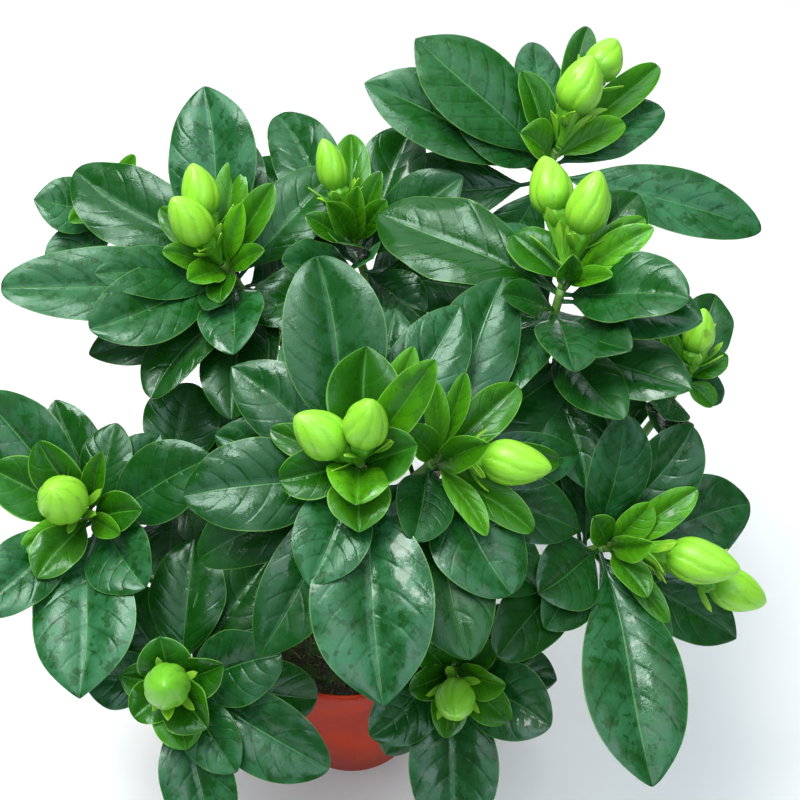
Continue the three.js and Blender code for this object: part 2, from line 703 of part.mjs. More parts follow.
const random = randomFrom(7);
place("pot", makePot());
place("soil", makeSoil());
place("stems", makeStems());
for (const shoot of shoots) {
  place("shoot_" + shoot.name, core(shoot, youngCore + nodeGap, shootLength), true);
  place("young_" + shoot.name, core(shoot, 0, youngCore), true);
}
for (const shoot of shoots.filter((s) => s.buds.length)) {
  place("bud_" + shoot.name, makeBuds(shoot, random));
}
for (const shoot of shoots) {
  for (const row of shoot.young) {
    placeClear("young_" + shoot.name, (turn) => leafAt(shoot, row, youngLeaf, turn));
  }
}
for (const shoot of shoots) {
  for (const row of shoot.leaves) {
    placeClear("shoot_" + shoot.name, (turn) => leafAt(shoot, row, matureKind(row[3]), turn));
  }
}
for (const shoot of shoots) {
  for (const leaf of fillLeaves(shoot, random)) {
    placeClear("shoot_" + shoot.name, (turn) => fillLeafAt(shoot, leaf, turn));
  }
}

const materials = {
  pot: { color: 0xa83a2a, roughness: 0.45 },
  soil: { color: 0x2a2018, roughness: 1 },
  stems: { color: 0x5b4a34, roughness: 0.9 },
  shoot: { color: 0x1d5a2b, roughness: 0.35 },
  young: { color: 0x4f9a24, roughness: 0.4 },
  bud: { color: 0x9ad43c, roughness: 0.4 },
};

// A solid as a named mesh with the look of its kind
function meshOf(name, solid) {
  const { numProp, vertProperties, triVerts } = solid.getMesh();
  const geometry = new THREE.BufferGeometry();
  const positions = new Float32Array((vertProperties.length / numProp) * 3);
  for (let i = 0; i < positions.length / 3; i++) {
    positions.set(vertProperties.subarray(i * numProp, i * numProp + 3), i * 3);
  }
  geometry.setAttribute("position", new THREE.BufferAttribute(positions, 3));
  geometry.setIndex(new THREE.BufferAttribute(new Uint32Array(triVerts), 1));
  geometry.computeVertexNormals();
  const look = materials[name.split("_")[0]];
  const mesh = new THREE.Mesh(geometry, new THREE.MeshStandardMaterial({ metalness: 0, ...look }));
  mesh.name = name;
  return mesh;
}

const plant = new THREE.Group();
plant.name = "potted_gardenia";
for (const name of [...new Set(placed.map((p) => p.node))]) {
  plant.add(meshOf(name, union(placed.filter((p) => p.node === name).map((p) => p.solid))));
}

export default plant;
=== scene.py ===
import math
import random

import bmesh
import bpy
from mathutils import Matrix, Quaternion, Vector, noise
from mathutils.kdtree import KDTree


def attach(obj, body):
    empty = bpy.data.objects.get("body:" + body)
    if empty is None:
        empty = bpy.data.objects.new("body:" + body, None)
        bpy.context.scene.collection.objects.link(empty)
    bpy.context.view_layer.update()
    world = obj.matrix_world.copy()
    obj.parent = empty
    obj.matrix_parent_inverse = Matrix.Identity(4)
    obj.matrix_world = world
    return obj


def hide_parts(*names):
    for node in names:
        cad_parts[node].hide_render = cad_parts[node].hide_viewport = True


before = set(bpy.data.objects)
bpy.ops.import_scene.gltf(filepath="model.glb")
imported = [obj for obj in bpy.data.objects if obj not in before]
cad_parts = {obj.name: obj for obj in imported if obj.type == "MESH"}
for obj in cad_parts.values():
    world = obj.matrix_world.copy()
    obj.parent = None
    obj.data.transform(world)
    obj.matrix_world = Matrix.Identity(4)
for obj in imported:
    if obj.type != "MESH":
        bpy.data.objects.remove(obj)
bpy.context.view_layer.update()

mm = 0.001
print("solids loaded:", len(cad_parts))

# Directions are given as they look to an eye in front of the plant, 46 degrees up:
# the clock angle counts from the right, anticlockwise, and the lean comes out of that view
eyeHeight = math.radians(46)
viewRight = Vector((1, 0, 0))
viewUp = Vector((0, math.sin(eyeHeight), math.cos(eyeHeight)))
viewOut = Vector((0, -math.cos(eyeHeight), math.sin(eyeHeight)))


def direction(clock, lean):
    turn, rise = math.radians(clock), math.radians(lean)
    return (
        viewRight * (math.cos(rise) * math.cos(turn))
        + viewUp * (math.cos(rise) * math.sin(turn))
        + viewOut * math.sin(rise)
    )


# Each shoot: its tip, its axis (clock, lean), and rows for what grows on it.
# leaves and young: distance below the tip, clock, lean, length, width, bend.
# buds: clock, lean, stalk, length, width.
# size: how large the leaves and buds are against the rows. fill: lower leaves that the whorl rule adds.
shoots = [
  {
    "name": "01", "tip": [-76, 121, 335], "axis": [125, 55], "size": 1.06, "fill": 2,
    "buds": [[124, 44, 14, 38, 23.5], [103, 24, 25, 34, 22]],
    "young": [
      [5, 85, 5, 62, 22, 25], [6, 58, 15, 58, 20, 20], [5, 70, 48, 44, 15, 15], [7, 137, 20, 52, 19, 25],
      [6, 165, 45, 40, 16, 20], [7, 205, 58, 36, 19, 25], [7, 270, 72, 34, 18, 25], [7, 20, 45, 36, 15, 20],
    ],
    "leaves": [
      [14, 146, -5, 116, 50, 25], [30, 181, 18, 139, 46, 20], [20, 202, 30, 94, 46, 20],
      [13, 98, 2, 112, 54, 20], [14, 88, -16, 92, 40, 20], [20, 48, 2, 92, 44, 25],
      [18, 180, 30, 84, 32, 20], [16, 244, 62, 44, 19, 15], [24, 275, 50, 68, 40, 35],
      [44, 199, 10, 102, 38, 20], [40, 276, 32, 70, 42, 40], [36, 208, 8, 66, 30, 20],
      [30, 352, -14, 58, 44, 20], [36, 268, 16, 88, 42, 25], [30, 28, -48, 60, 38, 20],
      [34, 160, -46, 56, 36, 20],
    ],
  },
  {
    "name": "02", "tip": [4, 141, 342], "axis": [110, 35], "size": 1.06, "fill": 1,
    "buds": [[106, 20, 22, 34, 18]],
    "young": [
      [5, 92, 18, 67, 24, 20], [6, 68, 25, 46, 16, 20], [7, 85, 45, 44, 14, 15], [7, 50, 45, 38, 15, 15],
      [6, 125, 35, 42, 16, 20], [7, 150, 40, 34, 15, 20],
    ],
    "leaves": [
      [16, 119, -16, 114, 42, 20], [26, 136, 0, 104, 38, 20], [16, 68, 10, 86, 42, 25],
      [18, 158, 57, 50, 26, 20], [22, 350, 80, 44, 26, 20], [34, 175, 56, 80, 36, 20],
      [32, 200, 24, 80, 38, 20], [20, 38, 10, 80, 38, 25], [30, 350, 10, 76, 44, 20],
      [28, 318, 15, 50, 34, 20], [30, 15, -50, 56, 34, 20], [28, 100, -58, 52, 34, 20],
    ],
  },
  {
    "name": "03", "tip": [132, 166, 388], "axis": [62, 40], "size": 1.09, "fill": 2,
    "buds": [[72, 28, 17, 36, 25], [62, -14, 46, 31, 22]],
    "young": [
      [6, 153, 41, 29, 25, 25], [6, 28, 10, 46, 19, 20], [6, 43, -22, 99, 21, 20], [6, 73, -24, 106, 20, 20],
      [5, 112, 12, 50, 20, 20],
    ],
    "leaves": [
      [13, 138, 10, 103, 54, 20], [20, 154, 7, 114, 46, 20], [17, 149, 26, 62, 34, 20],
      [15, 92, -20, 91, 32, 20], [14, 30, -14, 86, 34, 20], [18, 345, 2, 127, 39, 20],
      [26, 186, -6, 96, 46, 20], [24, 243, -22, 60, 36, 20],
    ],
  },
  {
    "name": "04", "tip": [129, 62, 376], "axis": [78, 38], "size": 1, "fill": 2,
    "buds": [[101, -5, 29, 38, 25], [75, 26, 19, 40, 23]],
    "young": [
      [5, 32, 25, 58, 19, 20], [6, 47, 28, 46, 14, 15], [7, 40, 8, 58, 18, 20], [5, 64, 3, 58, 15, 15],
      [6, 5, 55, 38, 14, 20], [6, 134, 10, 40, 29, 25], [7, 85, 65, 34, 15, 15],
    ],
    "leaves": [
      [14, 154, 4, 120, 56, 22], [14, 126, 2, 72, 26, 20], [13, 353, 41, 80, 46, 20],
      [18, 349, 30, 84, 42, 20], [13, 52, -2, 74, 42, 20], [24, 170, 43, 46, 22, 20],
      [40, 339, 58, 78, 34, 20], [52, 341, 40, 98, 44, 20], [50, 309, 30, 84, 36, 20],
      [54, 284, 22, 88, 38, 20], [52, 181, -30, 74, 38, 20], [34, 165, -30, 60, 34, 20],
      [28, 274, 46, 72, 36, 20],
    ],
  },
  {
    "name": "05", "tip": [212, 62, 298], "axis": [62, 40], "size": 1, "fill": 1,
    "buds": [[84, 22, 8, 31, 19]],
    "young": [
      [5, 30, 12, 28, 17, 20], [6, 118, 20, 36, 15, 20], [6, 150, 40, 30, 18, 20], [7, 318, 10, 22, 16, 20],
    ],
    "leaves": [
      [13, 66, 2, 64, 36, 25], [14, 0, -20, 32, 24, 20], [20, 228, 60, 36, 28, 20],
      [30, 246, 60, 42, 32, 20], [16, 115, -5, 56, 30, 20], [30, 190, 10, 70, 36, 20],
    ],
  },
  {
    "name": "06", "tip": [14, -51, 344], "axis": [100, 72], "size": 0.96, "fill": 2,
    "buds": [[143, 30, 10, 37, 26], [78, 50, 15, 36, 24]],
    "young": [
      [5, 87, 8, 64, 40, 20], [6, 66, 15, 70, 20, 15], [6, 55, 5, 78, 24, 25], [7, 158, 25, 52, 19, 20],
      [5, 190, 35, 44, 28, 25], [6, 265, 60, 36, 35, 40], [7, 270, 40, 42, 34, 20], [6, 22, 45, 42, 31, 25],
    ],
    "leaves": [
      [13, 102, -4, 120, 58, 15], [15, 142, 8, 92, 42, 20], [20, 187, 10, 98, 52, 20],
      [16, 276, 22, 128, 66, 20], [14, 246, 24, 72, 42, 20], [26, 240, 10, 114, 42, 20],
      [24, 60, -8, 110, 44, 20], [34, 80, -14, 102, 42, 20], [30, 164, 4, 86, 40, 20],
      [34, 206, 0, 104, 42, 25],
    ],
  },
  {
    "name": "07", "tip": [58, -36, 332], "axis": [40, 48], "size": 0.96, "fill": 3,
    "buds": [[353, 18, 17, 43, 25]],
    "young": [
      [5, 92, 20, 46, 14, 30], [6, 72, 30, 52, 14, 20], [6, 42, 17, 62, 25, 20], [7, 26, 42, 56, 19, 20],
      [5, 359, -12, 72, 21, 15], [6, 304, 32, 54, 15, 20], [7, 325, 25, 66, 21, 20],
      [6, 130, 45, 34, 19, 20],
    ],
    "leaves": [
      [13, 68, 15, 120, 49, 15], [20, 60, -8, 80, 28, 20], [14, 256, 48, 56, 34, 20],
      [16, 304, 34, 86, 54, 25], [26, 286, 30, 110, 52, 20], [20, 5, 0, 92, 34, 20],
      [24, 340, 4, 100, 40, 20], [30, 318, 12, 98, 42, 20], [26, 34, 8, 114, 44, 20],
      [30, 232, -34, 62, 38, 20],
    ],
  },
  {
    "name": "08", "tip": [-154, -12, 252], "axis": [145, 65], "size": 1.02, "fill": 2,
    "buds": [[105, 68, 12, 36, 28]],
    "young": [
      [5, 117, 25, 54, 28, 20], [6, 151, 20, 62, 35, 20], [6, 70, 35, 50, 14, 20], [7, 10, 40, 48, 25, 25],
      [5, 345, 50, 40, 14, 20], [6, 235, 38, 48, 28, 25], [7, 205, 40, 42, 18, 20],
    ],
    "leaves": [
      [13, 131, 8, 98, 50, 20], [14, 219, 32, 90, 40, 20], [16, 273, 34, 110, 60, 15],
      [14, 317, 34, 64, 44, 20], [16, 28, 14, 82, 46, 20], [14, 80, -5, 57, 32, 25],
      [20, 56, -10, 60, 34, 20],
    ],
  },
  {
    "name": "09", "tip": [-97, -97, 202], "axis": [150, 84], "size": 1.02, "fill": 1,
    "buds": [[60, 76, 12, 34, 25]],
    "young": [
      [5, 98, 35, 36, 31, 40], [6, 218, 38, 30, 26, 40], [7, 288, 35, 40, 29, 35], [5, 320, 40, 38, 30, 35],
      [6, 25, 30, 38, 25, 30], [7, 165, 30, 32, 22, 35],
    ],
    "leaves": [
      [13, 17, 16, 66, 44, 20], [18, 332, 10, 100, 46, 20], [14, 308, 20, 62, 32, 20],
      [16, 285, 40, 96, 42, 20], [14, 174, 8, 52, 34, 20], [20, 86, -12, 80, 46, 20],
      [26, 54, -4, 84, 44, 20], [24, 132, -10, 66, 42, 20], [24, 345, -22, 84, 44, 20],
    ],
  },
  {
    "name": "10", "tip": [66, -88, 197], "axis": [270, 66], "size": 1, "fill": 2,
    "buds": [[270, 79, 12, 35, 22.5]],
    "young": [
      [5, 195, 42, 34, 21, 25], [6, 352, 42, 38, 21, 25], [6, 322, 38, 46, 24, 20],
      [7, 262, 48, 42, 22, 25], [5, 135, 40, 34, 20, 30], [7, 40, 35, 36, 20, 30],
    ],
    "leaves": [
      [13, 218, 26, 66, 38, 20], [14, 270, 34, 100, 52, 20], [14, 331, 33, 70, 46, 20],
      [15, 36, 30, 70, 40, 20], [20, 345, -8, 66, 34, 20], [16, 105, 5, 46, 26, 30],
    ],
  },
  {
    "name": "11", "tip": [159, -44, 264], "axis": [20, 50], "size": 1.02, "fill": 2,
    "buds": [[350, 24, 22, 44, 25], [338, -6, 53, 38, 24]],
    "young": [
      [5, 50, 32, 34, 19, 30], [6, 35, 20, 58, 20, 20], [6, 305, 42, 38, 18, 20], [7, 308, 20, 52, 14, 30],
      [5, 20, 48, 38, 16, 20], [7, 120, 45, 30, 18, 20],
    ],
    "leaves": [
      [13, 83, 18, 80, 36, 15], [14, 54, 12, 86, 42, 20], [14, 208, 38, 54, 42, 20],
      [14, 279, 26, 131, 58, 15], [20, 302, 30, 72, 36, 20], [16, 15, -6, 96, 51, 20],
      [20, 26, 6, 66, 28, 20], [22, 329, 4, 100, 38, 20], [24, 232, 42, 62, 34, 20],
      [26, 90, -10, 74, 34, 20], [30, 62, -25, 74, 38, 20],
    ],
  },
  {
    "name": "12", "tip": [-160, 195, 325], "axis": [128, 50], "size": 1.05, "fill": 0,
    "buds": [],
    "young": [[5, 128, 50, 36, 18, 20], [6, 62, 30, 40, 15, 20], [6, 205, 45, 34, 16, 20]],
    "leaves": [[13, 171, 26, 54, 38, 20], [15, 222, 20, 60, 32, 20], [18, 15, 0, 56, 30, 20]],
  },
  {
    "name": "13", "tip": [-114, 35, 236], "axis": [95, 52], "size": 1, "fill": 0,
    "buds": [],
    "young": [[5, 120, 45, 38, 18, 20], [6, 55, 40, 36, 16, 20], [6, 180, 50, 34, 15, 20]],
    "leaves": [
      [14, 78, -6, 66, 50, 20], [16, 45, -8, 68, 34, 20], [28, 338, 44, 92, 40, 20],
      [30, 281, 50, 82, 44, 25],
    ],
  },
  {
    "name": "14", "tip": [-40, 150, 262], "axis": [100, 5], "size": 1, "fill": 5, "fillFrom": 14,
    "buds": [],
    "young": [],
    "leaves": [],
  },
  {
    "name": "15", "tip": [86, 150, 262], "axis": [80, 5], "size": 1, "fill": 5, "fillFrom": 14,
    "buds": [],
    "young": [],
    "leaves": [],
  },
]
trunk = [(4, 8, 104), (3, 7, 146), (6, 9, 172)]
forks = {
    "left": (-36, 20, 170),
    "back": (-6, 46, 198),
    "right": (46, 24, 202),
    "front": (10, 0, 208),
}
branches = [
    ("13", "left", [(-72, 30, 158)]),
    ("08", "left", [(-80, 16, 176)]),
    ("01", "back", [(-28, 92, 240)]),
    ("12", "back", [(-64, 118, 222)]),
    ("14", "back", [(-16, 76, 198)]),
    ("02", "back", [(8, 92, 240)]),
    ("03", "right", [(78, 96, 258)]),
    ("15", "right", [(60, 64, 202)]),
    ("04", "right", [(88, 38, 252)]),
    ("05", "right", [(112, 36, 210)]),
    ("11", "right", [(82, 4, 204)]),
    ("06", "front", [(14, -8, 244)]),
    ("07", "front", [(17, -8, 240)]),
    ("09", "trunk", [(-44, -20, 148)]),
    ("10", "trunk", [(36, -10, 160)]),
]

# How the solids' blades are laid out, so that each fine leaf grows where its blade is
layout = {
    "petioleShare": 0.06,
    "rootOffset": 1.6,
    "faceToShoot": 0.5,
    "faceToSky": 0.6,
    "clearStep": 4,
    "clearMost": 40,
    "youngCore": 9,
    "coreGap": 0.3,
    "coreRadius": 2.75,
    "shootLength": 62,
    "receptacle": 3,
    "matchWithin": 0.5,
}
whorls = {
    "from": 28, "count": 3, "step": 12, "turn": 0.17, "shift": 3, "scatter": 0.6, "spread": (68, 82),
    "length": (72, 98), "width": 0.44, "bend": 24,
}
sepals = {
    "alone": 5, "paired": 3, "scatter": 0.5, "spread": (45, 58), "length": (19, 26), "width": 5.2,
    "belowBud": 7, "bend": -30,
}


# The same seeded numbers as the solids use
def seededNumbers(seed):
    state = seed
    while True:
        state = (state * 1664525 + 1013904223) % 4294967296
        yield state / 4294967296


def lerp(a, b, share):
    return a + (b - a) * share


def smoothStep(low, high, value):
    t = min(1, max(0, (value - low) / (high - low)))
    return t * t * (3 - 2 * t)


# A leaf's facts: where it grows from, where it points and faces, its size and bend.
# A leaf straight along its shoot has no side of its own, so its root may lie off the axis on any side.
def placedLeaf(shoot, below, along, facing, length, width, bend):
    sideways = along - shoot["up"] * along.dot(shoot["up"])
    slack = layout["matchWithin"]
    if sideways.length < 0.001:
        slack += 2 * layout["rootOffset"]
    return {
        "root": shoot["at"] - shoot["up"] * below + sideways.normalized() * layout["rootOffset"],
        "slack": slack,
        "along": along,
        "face": (facing - along * facing.dot(along)).normalized(),
        "length": length,
        "width": width,
        "bend": math.radians(bend),
    }


def rowLeaf(shoot, row, turn):
    below, clock, lean, length, width, bend = row
    facing = viewOut + shoot["up"] * layout["faceToShoot"]
    size = shoot["size"]
    return placedLeaf(shoot, below, direction(clock, lean + turn), facing, length * size, width * size, bend)


def whorlLeaf(shoot, fill, turn):
    spread = math.radians(fill["spread"] + turn)
    out = Quaternion(shoot["up"], fill["around"]) @ fill["side"]
    along = shoot["up"] * math.cos(spread) + out * math.sin(spread)
    facing = shoot["up"] + Vector((0, 0, layout["faceToSky"]))
    length = fill["length"]
    return placedLeaf(shoot, fill["below"], along, facing, length, whorls["width"] * length, whorls["bend"])


# The middle line of a bent blade at a share of its length, and the way its face looks there
def bladeMiddle(leaf, share):
    bend = leaf["bend"]
    turn = bend / 2 - bend * share
    forward = (math.sin(bend / 2) - math.sin(turn)) / bend
    rise = (math.cos(turn) - math.cos(bend / 2)) / bend
    at = leaf["root"] + (leaf["along"] * forward + leaf["face"] * rise) * leaf["length"]
    return at, leaf["face"] * math.cos(turn) - leaf["along"] * math.sin(turn)


def cornersOf(nodeName):
    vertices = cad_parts[nodeName].data.vertices
    tree = KDTree(len(vertices))
    for i, v in enumerate(vertices):
        tree.insert(v.co / mm, i)
    tree.balance()
    return tree


# The solids turned some blades a little to clear others: the blade whose tip is a corner of the solid is the one
def settledLeaf(corners, makeLeaf):
    for turn in range(0, layout["clearMost"] + 1, layout["clearStep"]):
        for leaf in [makeLeaf(turn)] + ([makeLeaf(-turn)] if turn else []):
            if corners.find(bladeMiddle(leaf, 1)[0])[2] < leaf["slack"]:
                return leaf
    return None


for shoot in shoots:
    shoot["at"] = Vector(shoot["tip"])
    shoot["up"] = direction(*shoot["axis"])

# The random draws come in the solids' order: every sepal, and then every lower leaf
draw = seededNumbers(7)
for shoot in shoots:
    shoot["sepals"] = []
    perBud = sepals["paired"] if len(shoot["buds"]) > 1 else sepals["alone"]
    for row in shoot["buds"]:
        ring = []
        for i in range(perBud):
            around = 2 * math.pi * (i + sepals["scatter"] * next(draw)) / perBud
            spread = math.radians(lerp(*sepals["spread"], next(draw)))
            ring.append((around, spread, lerp(*sepals["length"], next(draw))))
        shoot["sepals"].append(ring)
for shoot in shoots:
    side = shoot["up"].cross(viewRight).normalized()
    shoot["fills"] = []
    for i in range(shoot["fill"]):
        whorl = i // whorls["count"]
        below = shoot.get("fillFrom", whorls["from"]) + whorls["step"] * whorl + whorls["shift"] * next(draw)
        around = 2 * math.pi * (i / whorls["count"] + whorls["turn"] * whorl) + whorls["scatter"] * next(draw)
        fill = {"below": below, "around": around, "side": side}
        fill["spread"] = lerp(*whorls["spread"], next(draw))
        fill["length"] = lerp(*whorls["length"], next(draw))
        shoot["fills"].append(fill)

# The blades. columns and rows: their mesh. petiole: half its width. fold and twist: degrees. power, foot, tip and
# point: the outline. crown and quilt: how the halves and the fields between the veins stand up. wave: of the margin.
bladeShapes = {
    "leaf": {
        "columns": 14, "rows": 56, "thickness": 0.9, "petiole": 1.3, "fold": (4, 20), "power": 0.62, "foot": 0.5,
        "tip": (-0.2, 0.04), "point": (-0.04, 0.22), "crown": 0.11, "quilt": (0.3, 0.9),
        "wave": (0.0, 0.02, 0.04, 0.07), "waves": 3, "twist": 9, "sway": 0.02,
        "pairs": 8, "slope": 0.12, "curve": 0.12,
    },
    "young": {
        "columns": 12, "rows": 30, "thickness": 0.8, "petiole": 1.0, "fold": (14, 30), "power": 0.54, "foot": 0.45,
        "tip": (-0.2, 0.0), "point": (0.0, 0.25), "crown": 0.13, "quilt": (0.15, 0.45),
        "wave": (0.03, 0.05, 0.08), "waves": 2.5, "twist": 10, "sway": 0.015,
        "pairs": 6, "slope": 0.12, "curve": 0.12,
    },
    "sepal": {
        "columns": 4, "rows": 10, "thickness": 0.8, "petiole": 1.6, "fold": (5, 15), "power": 0.5, "foot": 0.2,
        "tip": (0.0, 0.3), "point": (0.2, 0.5), "crown": 0.14, "quilt": (0, 0), "wave": (0,), "waves": 1,
        "twist": 25, "sway": 0, "pairs": 1, "slope": 0, "curve": 0,
    },
    "bract": {
        "columns": 6, "rows": 12, "thickness": 0.8, "petiole": 1.6, "fold": (18, 34), "power": 0.55, "foot": 0.2,
        "tip": (-0.1, 0.1), "point": (0.2, 0.5), "crown": 0.14, "quilt": (0, 0), "wave": (0,), "waves": 2,
        "twist": 20, "sway": 0.02, "pairs": 3, "slope": 0.2, "curve": 0.1,
    },
}


# Materials: first the helpers that add nodes to a tree
def addNode(tree, kind, inputs=None, **settings):
    made = tree.nodes.new("ShaderNode" + kind)
    for name, value in settings.items():
        setattr(made, name, value)
    for key, value in (inputs or {}).items():
        if isinstance(value, bpy.types.NodeSocket):
            tree.links.new(value, made.inputs[key])
        else:
            made.inputs[key].default_value = value
    return made


def maths(tree, operation, a, b=0.0, c=0.0, clamp=False):
    return addNode(tree, "Math", {0: a, 1: b, 2: c}, operation=operation, use_clamp=clamp).outputs[0]


def times(tree, a, b):
    return maths(tree, "MULTIPLY", a, b)


def minus(tree, a, b, clamp=False):
    return maths(tree, "SUBTRACT", a, b, clamp=clamp)


def mixColour(tree, share, a, b):
    return addNode(tree, "Mix", {0: share, 6: a, 7: b}, data_type="RGBA").outputs[2]


def between(tree, value, low, high, toLow=0.0, toHigh=1.0):
    inputs = {0: value, 1: low, 2: high, 3: toLow, 4: toHigh}
    return addNode(tree, "MapRange", inputs, interpolation_type="SMOOTHSTEP").outputs[0]


def noiseAt(tree, where, scale, detail=2.0, rough=0.5):
    inputs = {"Vector": where, "Scale": scale, "Detail": detail, "Roughness": rough}
    return addNode(tree, "TexNoise", inputs).outputs["Fac"]


def valueOf(tree, layer):
    return addNode(tree, "Attribute", attribute_name=layer).outputs["Fac"]


def newGroup(name, vectors, numbers):
    group = bpy.data.node_groups.new(name, "ShaderNodeTree")
    for kind, labels in (("NodeSocketVector", vectors), ("NodeSocketFloat", numbers)):
        for label in labels:
            group.interface.new_socket(label, in_out="INPUT", socket_type=kind)
    return group, group.nodes.new("NodeGroupInput").outputs


def endGroup(group, **results):
    for label in results:
        group.interface.new_socket(label, in_out="OUTPUT", socket_type="NodeSocketFloat")
    put = group.nodes.new("NodeGroupOutput")
    for label, socket in results.items():
        group.links.new(socket, put.inputs[label])
    return group


# Veins of a blade from its own UV map: across it 0 to 1, along it 0 to 1
def leafVeinsGroup():
    group, given = newGroup("leafVeins", ("Uv", "Where"), ("Pairs", "Slope", "Curve", "Midrib width", "Edge width"))
    split = addNode(group, "SeparateXYZ", {0: given["Uv"]}).outputs
    away = maths(group, "ABSOLUTE", maths(group, "MULTIPLY_ADD", split[0], 2.0, -1.0))
    wobble = times(group, minus(group, noiseAt(group, given["Where"], 70.0), 0.5), 0.02)
    curved = times(group, maths(group, "POWER", away, 2.0), given["Curve"])
    rise = maths(group, "ADD", times(group, away, given["Slope"]), curved)
    start = maths(group, "ADD", minus(group, split[1], rise), wobble)
    wave = maths(group, "COSINE", times(group, times(group, start, given["Pairs"]), 2 * math.pi))
    peak = maths(group, "MULTIPLY_ADD", wave, 0.5, 0.5)
    inside = times(group, between(group, away, 1.0, 0.75), between(group, split[1], 0.94, 0.74))
    vein = times(group, maths(group, "POWER", peak, 14.0), inside)
    midrib = minus(group, 1.0, maths(group, "DIVIDE", away, given["Midrib width"]), clamp=True)
    beyond = minus(group, away, minus(group, 1.0, given["Edge width"]))
    edge = maths(group, "DIVIDE", beyond, given["Edge width"], clamp=True)
    cells = addNode(group, "TexVoronoi", {"Vector": given["Where"], "Scale": 420.0}, feature="DISTANCE_TO_EDGE")
    net = between(group, cells.outputs["Distance"], 0.0, 0.16, 1.0, 0.0)
    return endGroup(group, Vein=vein, Midrib=midrib, Edge=edge, Net=net, Away=away)


# Patches and fine specks that break up any plain surface
def blotchesGroup():
    group, given = newGroup("blotches", ("Where",), ("Patch scale", "Speck scale", "Speck share"))
    patch = between(group, noiseAt(group, given["Where"], given["Patch scale"], 3.0, 0.55), 0.38, 0.62)
    fine = noiseAt(group, given["Where"], given["Speck scale"], 1.0)
    over = minus(group, fine, minus(group, 1.0, given["Speck share"]))
    return endGroup(group, Patch=patch, Speck=maths(group, "MULTIPLY", over, 12.0, clamp=True))


leafVeins = leafVeinsGroup()
blotches = blotchesGroup()


def newMaterial(name, **sockets):
    material = bpy.data.materials.new(name)
    material.use_nodes = True
    tree = material.node_tree
    shader = tree.nodes["Principled BSDF"]
    for label, value in sockets.items():
        shader.inputs[label.replace("_", " ")].default_value = value
    where = addNode(tree, "TexCoord").outputs["Object"]
    return material, tree, shader, where


def dress(tree, shader, colour, rough, height, bump):
    made = addNode(tree, "Bump", {"Distance": bump, "Height": height})
    for label, socket in (("Base Color", colour), ("Roughness", rough), ("Normal", made.outputs[0])):
        tree.links.new(socket, shader.inputs[label])


def blotched(tree, where, patchScale, speckScale, speckShare):
    inputs = {"Where": where, "Patch scale": patchScale, "Speck scale": speckScale, "Speck share": speckShare}
    made = addNode(tree, "Group", inputs, node_tree=blotches)
    return made.outputs["Patch"], made.outputs["Speck"]


leafLooks = {
    "leaf": {
        "deep": (0.003, 0.048, 0.002, 1),
        # a bluish sheen: painted reflection of the sky, mixed in by each leaf's own value
        "paintedSheen": (0.028, 0.145, 0.058, 1),
        "tinted": (0.018, 0.13, 0.004, 1),
        # near black-green: painted shade in the furrows of the lateral veins
        "vein": (0.002, 0.035, 0.003, 1),
        "rib": (0.1, 0.3, 0.07, 1),
        "edge": (0.12, 0.3, 0.05, 1),
        "under": (0.06, 0.15, 0.02, 1),
        "roughness": (0.2, 0.42),
        "ribWidth": 0.028,
        "edgeWidth": 0.03,
        "bump": 0.00022,
        "veinShare": 0.35,
        "subsurface": 0.0,
        "gloss": 0.42,
        "middle": 1.0,
    },
    "young": {
        "deep": (0.006, 0.07, 0.001, 1),
        # a lighter green sheen: painted reflection, mixed in by each leaf's own value
        "paintedSheen": (0.016, 0.13, 0.006, 1),
        "tinted": (0.13, 0.46, 0.006, 1),
        "vein": (0.02, 0.14, 0.004, 1),
        "rib": (0.12, 0.38, 0.05, 1),
        "edge": (0.2, 0.5, 0.07, 1),
        "under": (0.08, 0.28, 0.02, 1),
        "roughness": (0.26, 0.42),
        "ribWidth": 0.05,
        "edgeWidth": 0.07,
        "bump": 0.0002,
        "veinShare": 0.25,
        "subsurface": 0.2,
        "gloss": 0.3,
        "middle": 0.55,
    },
}


